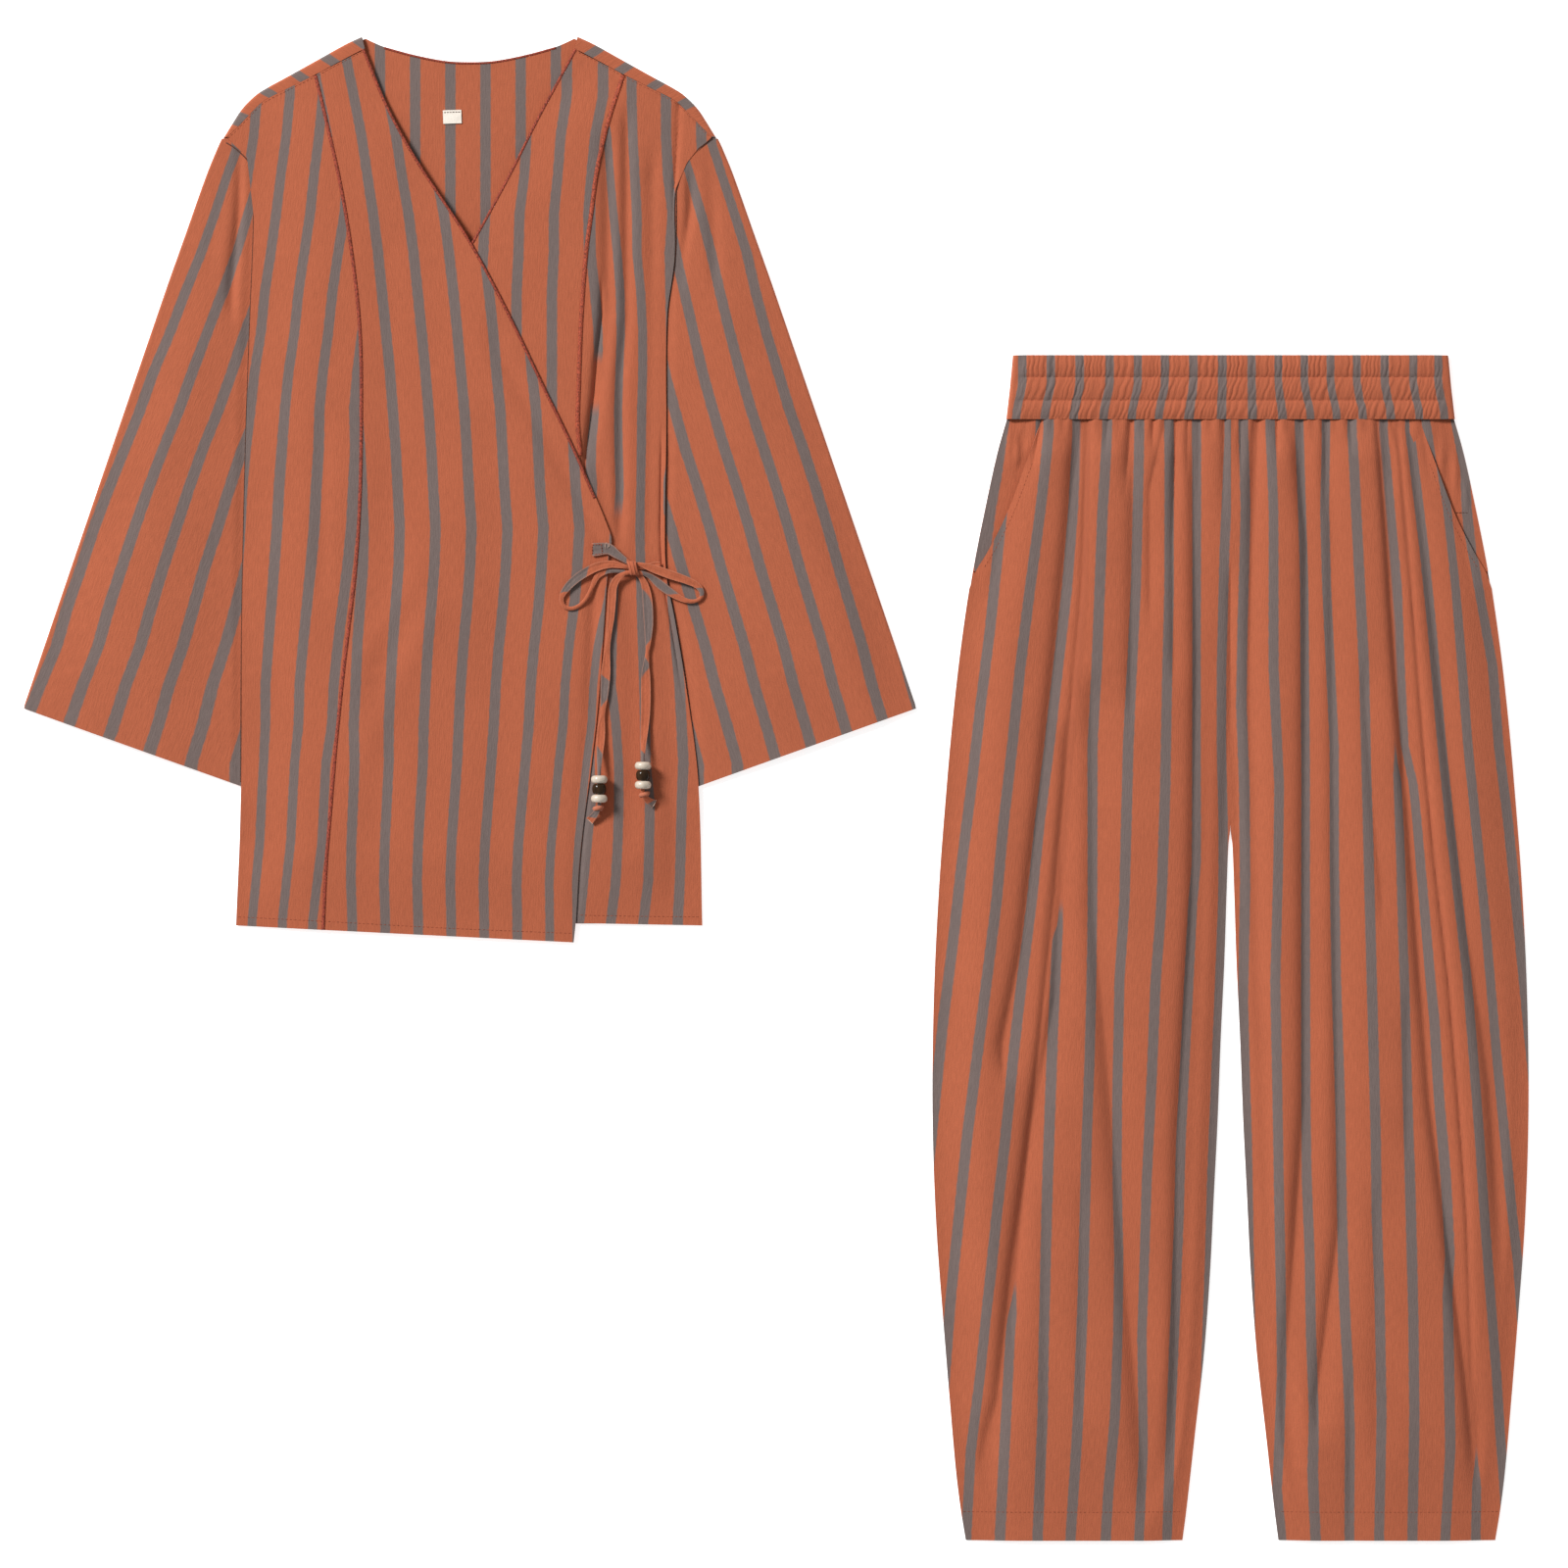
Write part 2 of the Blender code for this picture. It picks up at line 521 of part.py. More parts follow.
def make_ties(cloth, cream, dark):
    make_tie("tie_right", TIE_RIGHT, BEADS_RIGHT, cloth)
    make_tie("tie_left", TIE_LEFT, BEADS_LEFT, cloth)
    for side, (x, down) in (("right", BEADS_RIGHT), ("left", BEADS_LEFT)):
        height = cover_height(x, down) + TIE_CLEAR + TIE_THICK / 2 + BEAD_LIFT
        make_bead(f"bead_upper_{side}", x, down - BEAD_PITCH, height, CREAM_BEAD, cream)
        make_bead(f"bead_middle_{side}", x, down, height, DARK_BEAD, dark)
        make_bead(f"bead_lower_{side}", x, down + BEAD_PITCH, height, CREAM_BEAD, cream)
    bm = bmesh.new()
    bmesh.ops.create_uvsphere(bm, u_segments=12, v_segments=8, radius=1)
    for vertex in bm.verts:
        height = max(vertex.co.z, -0.45)
        vertex.co = Vector((vertex.co.x * KNOT_SIZE[0], vertex.co.y * KNOT_SIZE[1], height * KNOT_SIZE[2])) * MM
    mesh = bpy.data.meshes.new("tie_knot")
    bm.to_mesh(mesh)
    bm.free()
    mesh.shade_smooth()
    knot = add_object("tie_knot", mesh, cloth, JACKET_AT)
    under = cover_height(*KNOT_AT) + TIE_CLEAR + TIE_THICK + TIE_STEP + TIE_CLEAR
    height = under + 0.45 * KNOT_SIZE[2]
    knot.location = ((JACKET_AT[0] + KNOT_AT[0]) * MM, (JACKET_AT[1] - KNOT_AT[1]) * MM, height * MM)


def make_label(material):
    """The small neck label, left bare, on the inside of the back."""
    bm = bmesh.new()
    bmesh.ops.create_cube(bm, size=1)
    bmesh.ops.scale(bm, verts=bm.verts, vec=Vector(LABEL_SIZE) * MM)
    mesh = bpy.data.meshes.new("size_label")
    bm.to_mesh(mesh)
    bm.free()
    label = add_object("size_label", mesh, material, JACKET_AT)
    height = WALL + SEAM_GAP + LABEL_SIZE[2] / 2
    label.location = (
        (JACKET_AT[0] + LABEL_CENTRE[0]) * MM,
        (JACKET_AT[1] - LABEL_CENTRE[1]) * MM,
        height * MM,
    )


def leg_edges(side):
    """Outer and inner edge of one leg as (x, down), from the waist seam to the hem."""
    outer = tuple((side * half, down) for down, half in LEG_OUTER if down >= WAIST_SEAM)
    inner = tuple((side * half, down) for down, half in LEG_INNER)
    return outer, inner


def leg_patch(outer, inner, u, v):
    """u runs from the outer edge to the inner one."""
    top = (outer[0], inner[0])
    bottom = (outer[-1], inner[-1])
    return patch(top, bottom, outer, inner, u, v)


def fold_depth(folds, x, down):
    """How far the folds sink the cloth here. Each fades out over 40 mm past its ends."""
    depth = 0.0
    for line, deep, half_width in folds:
        beside = (x - across(line, down)) / half_width
        ends = ease(down, line[0][1] - 40, line[0][1]) * (1 - ease(down, line[-1][1], line[-1][1] + 40))
        depth += deep * ends * math.exp(-beside * beside)
    return depth


def leg_height(side, folds, x, down):
    """The leg's front stands off its back between the seams and is creased by the folds."""
    outer = read(LEG_OUTER, down)
    inner = read(LEG_INNER, down)
    out = outer - side * x
    inwards = side * x - inner
    seam_rise = ease(inwards, 0, 34) if down > CROTCH else 0.55 + 0.45 * ease(inwards, 0, 34)
    rise = LEG_RISE * ease(out, 0, 46) * seam_rise * (1 - 0.35 * ease(down, 880, 966))
    band = WAIST_LAYER - SLEEVE_LOWER
    near_band = 1 - ease(down, WAIST_SEAM, WAIST_SEAM + 34)
    rise = rise + (band * ease(out, 0, 30) - rise) * near_band
    depth = fold_depth(folds, x, down) * ease(rise, 1.5, 6) * (1 - near_band)
    mouth = LAYER * (1 - ease(down, POCKET_END, POCKET_END + 30))
    return SLEEVE_LOWER + max(rise - depth, 0.4 * rise) + mouth * (1 - ease(rise, 1.0, 3.0))


def make_trousers(cloth):
    waist = WAIST_SEAM + SEAM_GAP
    for name, side, folds in (("right", -1, FOLDS_RIGHT_LEG), ("left", 1, FOLDS_LEFT_LEG)):
        outer, inner = leg_edges(side)
        outer = ((outer[0][0], waist), *outer[1:])
        inner = ((inner[0][0], waist), *inner[1:])
        mouth = tuple((side * x, max(down, waist)) for x, down in POCKET_MOUTH)
        below_mouth = tuple(p for p in outer if p[1] > POCKET_END + 6)
        front_outer = (*mouth, *below_mouth)

        def front(u, v, side=side, folds=folds, front_outer=front_outer, inner=inner):
            x, down = leg_patch(front_outer, inner, u, v)
            return x, down, leg_height(side, folds, x, down)

        def back(u, v, side=side, outer=outer, inner=inner):
            x, down = leg_patch(outer, inner, u, v)
            return x - side * 0.6 * (1 - u), down, FLOOR_LAYER

        def facing(u, v, side=side, outer=outer, mouth=mouth):
            side_edge = part_of(outer, waist, POCKET_END)
            tucked = tuple((x - side * FACING_TUCK, down) for x, down in mouth)
            top = (side_edge[0], tucked[0])
            bottom = (side_edge[-1], tucked[-1])
            x, down = patch(top, bottom, side_edge, tucked, u, v)
            out = read(LEG_OUTER, down) - side * x
            lift = 2.2 * (1 - ease(down, waist, 100)) * ease(out, 2, 24)
            return x - side * 0.6, down, SLEEVE_LOWER + lift * ease(leg_height(side, (), x, down), 2.4, 6)

        sheet(f"trousers_back_{name}", stops(4), stops(13), back, cloth, TROUSERS_AT)
        sheet(f"pocket_facing_{name}", stops(4), stops(6), facing, cloth, TROUSERS_AT)
        sheet(f"trousers_front_{name}", stops(22), stops(19, 0.02), front, cloth, TROUSERS_AT)


def make_waistband(cloth):
    """A flat elastic band as one flattened ring: it bulges softly between its rows of stitching."""
    roll = (WAIST_LAYER - FLOOR_LAYER) / 2
    front_columns = 16
    fold_columns = 3
    back_columns = 6
    columns = front_columns + back_columns + 2 * fold_columns
    channel_rows = 3

    def place(u, v):
        step = round(u * columns) % columns
        down = WAIST_SEAM * v
        half = read(LEG_OUTER, down) - WALL / 2 - roll
        if step <= front_columns:
            share = step / front_columns
            low = max(edge for edge in BAND_CHANNELS if edge <= down + 0.01)
            high = min(edge for edge in BAND_CHANNELS if edge >= down - 0.01)
            bulge = math.sin(math.pi * (down - low) / (high - low)) if high > low else 0
            sides = ease(min(share, 1 - share), 0, 0.06)
            return half * (2 * share - 1), down, WAIST_LAYER + 1.5 * bulge * sides
        step -= front_columns
        if step <= fold_columns:
            turn = math.pi * step / fold_columns
            return half + roll * math.sin(turn), down, WAIST_LAYER - roll * (1 - math.cos(turn))
        step -= fold_columns
        if step <= back_columns:
            return half * (1 - 2 * step / back_columns), down, FLOOR_LAYER
        turn = math.pi * (step - back_columns) / fold_columns
        return -half - roll * math.sin(turn), down, FLOOR_LAYER + roll * (1 - math.cos(turn))

    u_stops = [step / columns for step in range(columns + 1)]
    v_stops = [0.0]
    for low, high in zip(BAND_CHANNELS, BAND_CHANNELS[1:]):
        v_stops += [(low + (high - low) * step / channel_rows) / WAIST_SEAM for step in range(1, channel_rows + 1)]
    sheet("trousers_waistband", u_stops, v_stops, place, cloth, TROUSERS_AT, ring=True)


def main():
    for thing in list(bpy.data.objects):
        bpy.data.objects.remove(thing, do_unlink=True)
    bpy.context.scene.collection.children.link(bpy.data.collections.new("coord_set"))
    cloth = make_material("striped_cloth", TERRACOTTA, 0.9)
    cream = make_material("cream_bead", CREAM, 0.45)
    dark = make_material("dark_bead", DARK_BROWN, 0.12)
    label = make_material("label_tape", LABEL_CREAM, 0.7)
    make_back(cloth)
    make_fronts(cloth)
    make_sleeve("jacket_sleeve_right", -1, ARMHOLE_RIGHT, SIDE_RIGHT, cloth)
    make_sleeve("jacket_sleeve_left", 1, ARMHOLE_LEFT, SIDE_LEFT, cloth)
    make_label(label)
    make_ties(cloth, cream, dark)
    make_trousers(cloth)
    make_waistband(cloth)


main()
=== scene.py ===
"""Striped wrap jacket and barrel trousers with their real surface, laid flat and seen from above.

Lengths in the tables are in millimetres. In each garment's own frame x runs to the viewer's right from
the centre line, and "down" runs from the top edge towards the hem. Heights are above the floor.
Right and left are the wearer's.
"""

import math

import bpy
import numpy as np
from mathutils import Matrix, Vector


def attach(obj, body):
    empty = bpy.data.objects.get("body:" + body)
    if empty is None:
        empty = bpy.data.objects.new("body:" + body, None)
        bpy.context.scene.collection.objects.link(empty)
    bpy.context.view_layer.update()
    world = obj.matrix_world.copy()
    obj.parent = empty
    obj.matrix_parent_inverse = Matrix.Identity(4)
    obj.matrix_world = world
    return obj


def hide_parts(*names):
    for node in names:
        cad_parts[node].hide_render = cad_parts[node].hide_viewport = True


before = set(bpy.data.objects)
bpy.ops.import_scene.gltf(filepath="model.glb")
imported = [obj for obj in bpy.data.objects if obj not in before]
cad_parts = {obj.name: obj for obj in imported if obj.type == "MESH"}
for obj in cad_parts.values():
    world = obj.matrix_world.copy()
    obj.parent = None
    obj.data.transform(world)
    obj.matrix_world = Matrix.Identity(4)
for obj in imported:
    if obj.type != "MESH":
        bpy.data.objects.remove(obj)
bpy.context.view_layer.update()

MM = 0.001

# Where each garment lies in the set: its centre line, and the height of its top edge on the floor.
JACKET_AT = (-249.9, 613.4)
TROUSERS_AT = (370.65, 353.3)

WALL = 1.0
SEAM_GAP = 0.3
SEAM_STEP = 0.05
LAYER = 1.4
FLOOR_LAYER = WALL / 2
SLEEVE_LOWER = FLOOR_LAYER + LAYER
SLEEVE_UPPER = SLEEVE_LOWER + LAYER
FRONT_LAYER = SLEEVE_UPPER + LAYER

# Jacket outlines: (x, down).
SHOULDER_TIP = (201.0, 83.0)
SHOULDER = (
    (88, 0), (101, 6), (124, 18.8), (147, 31.6), (171, 45), (179, 51.6), (186.4, 59.6), (192.8, 69.4),
    SHOULDER_TIP,
)
SHOULDER_SEAM = (
    (85.5, 10), (104, 19.6), (126, 31.5), (147, 42), (168, 53), (181, 65.5), (189, 74), (197.4, 82),
)
NECK_BACK = (
    (-88, 0), (-70, 8), (-46, 14.5), (-20, 19.5), (0, 20.5), (20, 19.5), (46, 14.5), (70, 8), (88, 0),
)
ARMHOLE_RIGHT = ((-202.5, 83.6), (-191, 90.4), (-182, 98.8), (-178, 105), (-166.5, 118))
ARMHOLE_LEFT = ((202.5, 83.6), (187, 91.6), (177.6, 103.4), (168.2, 124.4), (155.5, 134))
SIDE_RIGHT = (
    (-178, 105), (-176, 147), (-179, 230), (-182.4, 328), (-185.6, 475), (-186.4, 612), (-190.8, 725),
)
SIDE_LEFT = (
    (177.6, 103.4), (168, 124.6), (167, 181), (160.8, 230), (160.3, 328), (159.2, 402),
    (160.6, 440), (167.2, 475), (177, 534), (186.4, 608), (189.6, 725),
)
PRINCESS_RIGHT = (
    (-125.6, 32.1), (-116.8, 68.4), (-104.8, 122), (-95.2, 181), (-89.1, 240), (-88, 304), (-89.1, 377),
    (-92.8, 436), (-99.2, 490), (-107.2, 563), (-113.1, 632), (-117, 680), (-119.5, 728.6),
)
PRINCESS_LEFT = (
    (125.2, 31.9), (112.8, 71), (104.8, 104), (98.7, 149), (95.2, 176), (91.2, 230), (89, 289),
    (88.4, 318), (90.4, 342), (91.5, 362), (86, 420), (82, 500), (79, 600), (76, 722.8),
)
WRAP_EDGE = (
    (-85.5, 10.8), (-65.6, 58.8), (-41.1, 102.8), (0.5, 166.4), (32, 225), (60.4, 284), (84.4, 333.4),
    (103.2, 376.7), (112.2, 398.7), (115.8, 410.5), (113.6, 424), (109, 490), (104.8, 546.5), (98, 605.3),
    (93.2, 640), (89.3, 677.1), (86.6, 721), (84.8, 738.8),
)
WRAP_ABOVE_BOW = WRAP_EDGE[:8]
UNDER_EDGE = (
    (85.5, 10.8), (56.8, 63.6), (32.3, 112.4), (3, 166.4), (-32, 225), (-61.6, 284), (-80, 340),
    (-86, 420), (-84, 520), (-82, 620), (-80, 721),
)
BACK_HEM = 723.5
SLEEVE_FOLD = ((202.5, 83.6), (206, 91), (215, 113), (232, 161), (249, 209), (363.5, 545), (364, 548))
SLEEVE_TUCK = 12.0
CUFF_INNER = 614.0

JACKET_RISE = 2.8
SLEEVE_RISE = 4.4
LEG_RISE = 8.6
WAIST_LAYER = 6.0

# Trousers: (down, half width) of the outer side, and (down, distance from the centre line) of the inside.
WAIST_SEAM = 52.0
CROTCH = 384.0
LEG_OUTER = (
    (0, 177.6), (26, 180), (52, 183), (78, 190.4), (110, 197.6), (174, 210.4), (238, 220), (302, 227.2),
    (366, 232.8), (430, 237.6), (510, 241.6), (590, 243.2), (654, 242.4), (718, 239.6), (782, 234.8),
    (846, 229.6), (910, 224), (942, 220), (966.4, 216),
)
LEG_INNER = (
    (52, 0.2), (384, 0.2), (398, 1.6), (430, 2.9), (494, 5), (558, 8), (622, 10.4), (686, 13.6),
    (750, 16.8), (814, 21.6), (878, 28.8), (942, 36), (966.4, 39.2),
)
POCKET_MOUTH = ((154, 52), (167, 88), (182, 128), (197, 158), (208, 176))
POCKET_END = 176.0
FACING_TUCK = 11.0
BAND_CHANNELS = (0.0, 17.7, 36.8, WAIST_SEAM)

# Folds: their line (x, down), depth (a ridge is negative) and half width.
FOLDS_RIGHT_LEG = (
    (((-125.6, 54), (-130.4, 116), (-142.4, 238), (-156, 362), (-171, 486), (-186, 560)), 3.6, 9),
    (((-133.6, 330), (-144, 527), (-160.8, 620), (-178.4, 743), (-190.4, 852), (-212, 930)), 3.6, 9),
    (((-113.6, 290), (-112, 453), (-100.8, 577), (-85.6, 759), (-69.6, 920)), 3.4, 13),
    (((-80, 54), (-80.5, 160), (-82, 270)), 2.0, 9),
    (((-31.2, 54), (-28, 251), (-31.2, 446), (-43.2, 643), (-46.4, 900)), 3.6, 9),
    (((-54.4, 56), (-66.4, 110), (-66.4, 190)), 1.3, 6),
    (((-44.8, 62), (-48, 150), (-47.2, 238)), 1.5, 6),
    (((-152, 710), (-152, 926)), 1.0, 12),
    (((-122.4, 700), (-122.4, 842)), 0.9, 10),
)
FOLDS_LEFT_LEG = (
    (((19, 54), (15, 270), (16, 520), (20, 759)), 2.6, 8),
    (((52.8, 54), (61.6, 150), (60, 436), (60, 610), (46.4, 810), (38, 940)), 4.0, 9),
    (((80, 54), (83.2, 318), (88, 710), (70, 850)), 2.8, 9),
    (((124, 54), (132, 200), (148.8, 436), (162.4, 610), (186.4, 793), (204, 940)), 4.0, 8),
    (((147.2, 60), (171.2, 278), (192.8, 470), (211.2, 594), (226, 776), (225, 850)), 4.0, 10),
    (((108.8, 278), (115.2, 369), (122.4, 436)), 1.2, 8),
    (((143.2, 544), (143.2, 627)), 1.0, 9),
    (((117.6, 710), (117.6, 875)), 1.0, 12),
    (((96.8, 859), (96.8, 965)), 1.0, 9),
    (((127.2, 56), (132, 86)), 1.0, 3),
)
CREASES_RIGHT_LEG = (
    ((
        (-117, 54), (-122, 190), (-129, 270), (-136, 350), (-143, 430), (-150, 500), (-165, 640),
        (-179, 780),
    ), 2.6, 2.6),
    (((0, 200), (0, 386)), 3.2, 3.2),
)
CREASES_LEFT_LEG = (
    (((119, 54), (127, 158), (133, 250), (140, 330)), 2.8, 2.4),
    ((
        (136, 60), (147, 190), (157, 318), (166, 414), (177, 510), (185, 606), (192, 702), (196, 830),
    ), 2.8, 2.6),
    (((0, 200), (0, 386)), 3.2, 3.2),
)
# Pleats under the waistband: x at the seam, x at the end, length, depth and half width.
PLEATS = (
    (-154, -163, 46, 2.6, 2.6), (-121, -131, 74, 3.2, 3.0), (-100, -103, 30, 1.6, 2.6),
    (-81, -87, 66, 2.8, 3.0), (-63, -64, 30, 1.8, 2.2), (-45, -47, 110, 2.8, 2.6),
    (-35, -36, 50, 1.8, 2.0), (-26, -27, 80, 2.4, 2.6), (-5, -7, 90, 2.2, 2.6), (8, 8, 50, 1.8, 2.4),
    (22, 19, 110, 3.0, 2.8), (38, 37, 40, 1.8, 2.2), (57, 60, 80, 2.8, 2.6), (78, 76, 92, 3.0, 2.8),
    (97, 99, 34, 1.6, 2.4), (125, 131, 60, 3.2, 2.4), (131, 139, 30, 1.8, 1.8), (145, 153, 84, 2.8, 2.6),
    (155, 164, 60, 2.2, 2.4),
)
DENTS_FACING_RIGHT = (
    (-170, 70, 1.9, 3.5, 6), (-175, 80, -1.8, 3, 10), (-172, 95, 1.6, 3, 8), (-181, 74, -1.3, 3, 14),
)
DENTS_FACING_LEFT = (
    (178, 108, 1.5, 3, 9), (184, 96, -1.6, 3, 16), (189, 82, 1.5, 3, 8), (173, 84, -1.4, 3, 14),
    (193, 112, -1.2, 2.5, 12),
)
FOLDS_RIGHT_FRONT = (
    (((22.4, 255), (66, 333), (110.4, 412)), 1.5, 10),
    (((-46, 445), (-90, 514)), -1.1, 14),
    (((-32, 473), (-80, 573)), -1.1, 14),
    (((-120, 328), (-120, 426)), 1.0, 8),
    (((-66, 180), (-64, 420), (-76, 640)), 0.8, 16),
    (((20, 330), (30, 520), (22, 660)), 0.8, 18),
    (((103, 472), (100, 560), (95, 600), (90, 655), (88, 700)), 3.2, 6),
)
FOLDS_LEFT_FRONT = (
    (((112.8, 103), (112.8, 220), (105.6, 279), (98.4, 328)), 3.2, 6),
    (((128, 83), (128, 230), (122.8, 279), (122.8, 390)), 3.2, 5),
    (((150, 120), (151, 240), (147, 400)), 2.2, 6),
    (((169.6, 63), (166.4, 149)), 1.5, 5),
    (((106, 360), (118, 430)), 1.4, 7),
    (((128, 440), (134, 520), (131, 640)), 1.2, 9),
    (((160, 470), (167, 560), (168, 680)), 1.1, 9),
)
CREASES_LEFT_SHOULDER = (
    (((170.4, 62), (169.6, 80), (168, 106), (167, 124)), 1.8, 1.4),
    (((107.5, 228), (103.6, 260), (101, 292), (96.9, 324), (92.9, 353)), 2.6, 2.0),
)
FOLDS_SLEEVE_RIGHT = (
    (((-187, 100), (-188, 147), (-194, 201)), 3.4, 5),
    (((-200, 96), (-204, 130), (-212, 170)), 1.2, 7),
    (((-240, 260), (-290, 420), (-330, 560)), 0.7, 16),
)
FOLDS_SLEEVE_LEFT = (
    (((180, 136), (178, 150), (170, 181)), 3.4, 5),
    (((198.4, 110), (200, 181)), 2.0, 6),
    (((230, 260), (268, 420), (306, 560)), 0.7, 16),
)

# Stripes. A row is (down, x of one stripe, distance to the next).
STRIPE_PITCH = 28.8
# Inside the neck: x of one stripe, and the distance to the next.
BACK_STRIPES = (-16.0, 28.7)
STRIPES_FRONT_RIGHT = (
    (17, -100.8, 28), (49, -94.4, 28), (81, -88, 28), (113, -83.2, 28), (145, -78.4, 28.8),
    (177, -74.4, 28.9), (209, -71.2, 29.1), (241, -68, 29.1), (273, -64.8, 28.9), (305, -62.4, 29.2),
    (337, -60, 29), (369, -58.4, 29), (401, -56.8, 29.3), (433, -57.6, 29.1), (465, -60, 29.1),
    (497, -62.4, 28.8), (529, -64, 28.5), (561, -65.6, 28.5), (593, -65.6, 27.8), (625, -67.2, 27.5),
    (657, -68.8, 27.2), (689, -69.6, 27), (721, -68.8, 26.9),
)
STRIPES_SIDE_RIGHT = (
    (49, -119.6, 26.8), (81, -122.4, 26.8), (113, -126.4, 27.2), (145, -129.6, 28), (177, -134.4, 27.6),
    (209, -139.2, 27.8), (241, -142.4, 27.6), (273, -147.2, 28), (305, -150.4, 28.3), (337, -152.8, 30),
    (369, -155.2, 30.4), (401, -156.8, 30.4), (433, -159.2, 30), (465, -161.6, 29.2), (497, -164, 28.4),
    (529, -166.4, 28), (561, -166.4, 27.2), (593, -168, 25.6), (625, -169.6, 25.6), (657, -171.2, 25.6),
    (689, -174.4, 25.2), (721, -177.6, 24.8),
)
STRIPES_FRONT_LEFT = (
    (49, 79.2, 29.6), (81, 74.4, 28), (113, 72, 27.2), (145, 68.8, 28), (177, 68.8, 28.8),
    (209, 67.2, 28.8), (273, 67.2, 28.8),
)
STRIPES_SLEEVE_RIGHT = (
    (92, -163.7, 26.5), (113, -171.2, 26.5), (145, -180.8, 27.2), (177, -190.4, 28.8),
    (209, -201.6, 30.4), (241, -213.6, 30.4), (273, -225.6, 32), (305, -236.8, 32), (337, -249.6, 32),
    (369, -261.6, 32.8), (401, -272.8, 33.6), (433, -283.2, 33.6), (465, -293.6, 34.4),
    (497, -302.4, 34.4), (529, -315.2, 35.2), (561, -326.4, 36.4), (593, -337.6, 36.8),
)
STRIPES_SLEEVE_LEFT = (
    (86, 144, 26.5), (113, 153.6, 26), (145, 161.6, 27.2), (177, 168, 29), (209, 175.2, 29),
    (241, 182.4, 29.6), (273, 189.6, 30.8), (305, 198.4, 31.2), (337, 208, 32), (369, 218.4, 32),
    (401, 228, 32), (433, 236.8, 32), (465, 246.4, 32), (497, 256, 32), (529, 264, 32), (561, 273.6, 32),
    (593, 282.4, 32),
)
STRIPES_SHOULDER_RIGHT = (
    (-201, -6.5), (-190, -6.2), (-185.6, -6), (-163.4, -5), (-137.8, -4), (-113.9, -3), (-90, -2.1),
    (-85, -1.9),
)
STRIPES_SHOULDER_LEFT = ((85, 0.35), (101.6, 1), (125.6, 2), (151.2, 3), (175.2, 4), (201, 5.1))

# Stripes that aren't parallel, from left to right: (hidden in a crease above this, ((down, x), ...)).
LINES_SIDE_LEFT = (
    (0, (
        (177, 99.2), (209, 102.4), (238, 105), (256, 105.4), (300, 102.6), (316, 101.4), (331, 99.8),
        (352, 99.2), (366, 100.2), (401, 99), (500, 97), (580, 98), (625, 99.2), (657, 96), (689, 92.8),
        (721, 89.6),
    )),
    (0, (
        (49, 107), (81, 112), (113, 114.4), (145, 117.2), (177, 120.6), (209, 122.9), (241, 123.2),
        (273, 122), (305, 121), (337, 121.6), (369, 122.6), (401, 120.4), (465, 116.8), (529, 115.2),
        (561, 119.2), (593, 121.6), (625, 121.6), (657, 120.8), (689, 119.2), (721, 115.2),
    )),
    (0, (
        (49, 132), (81, 132.8), (113, 134.4), (145, 136), (177, 136), (209, 139.2), (241, 140.8),
        (273, 140.8), (305, 140), (369, 139.2), (401, 138.4), (465, 140), (529, 142.4), (593, 143.2),
        (625, 147), (657, 146.4), (689, 145.6), (721, 141.6),
    )),
    (0, (
        (81, 160), (113, 161.6), (145, 165.6), (177, 163), (241, 164), (305, 165), (345, 165), (362, 162),
        (386, 162), (400, 165), (433, 165), (465, 165.6), (497, 168), (529, 171.2), (561, 172.8),
        (593, 174.4), (625, 172.8), (657, 172), (689, 171.2), (721, 169.6),
    )),
)
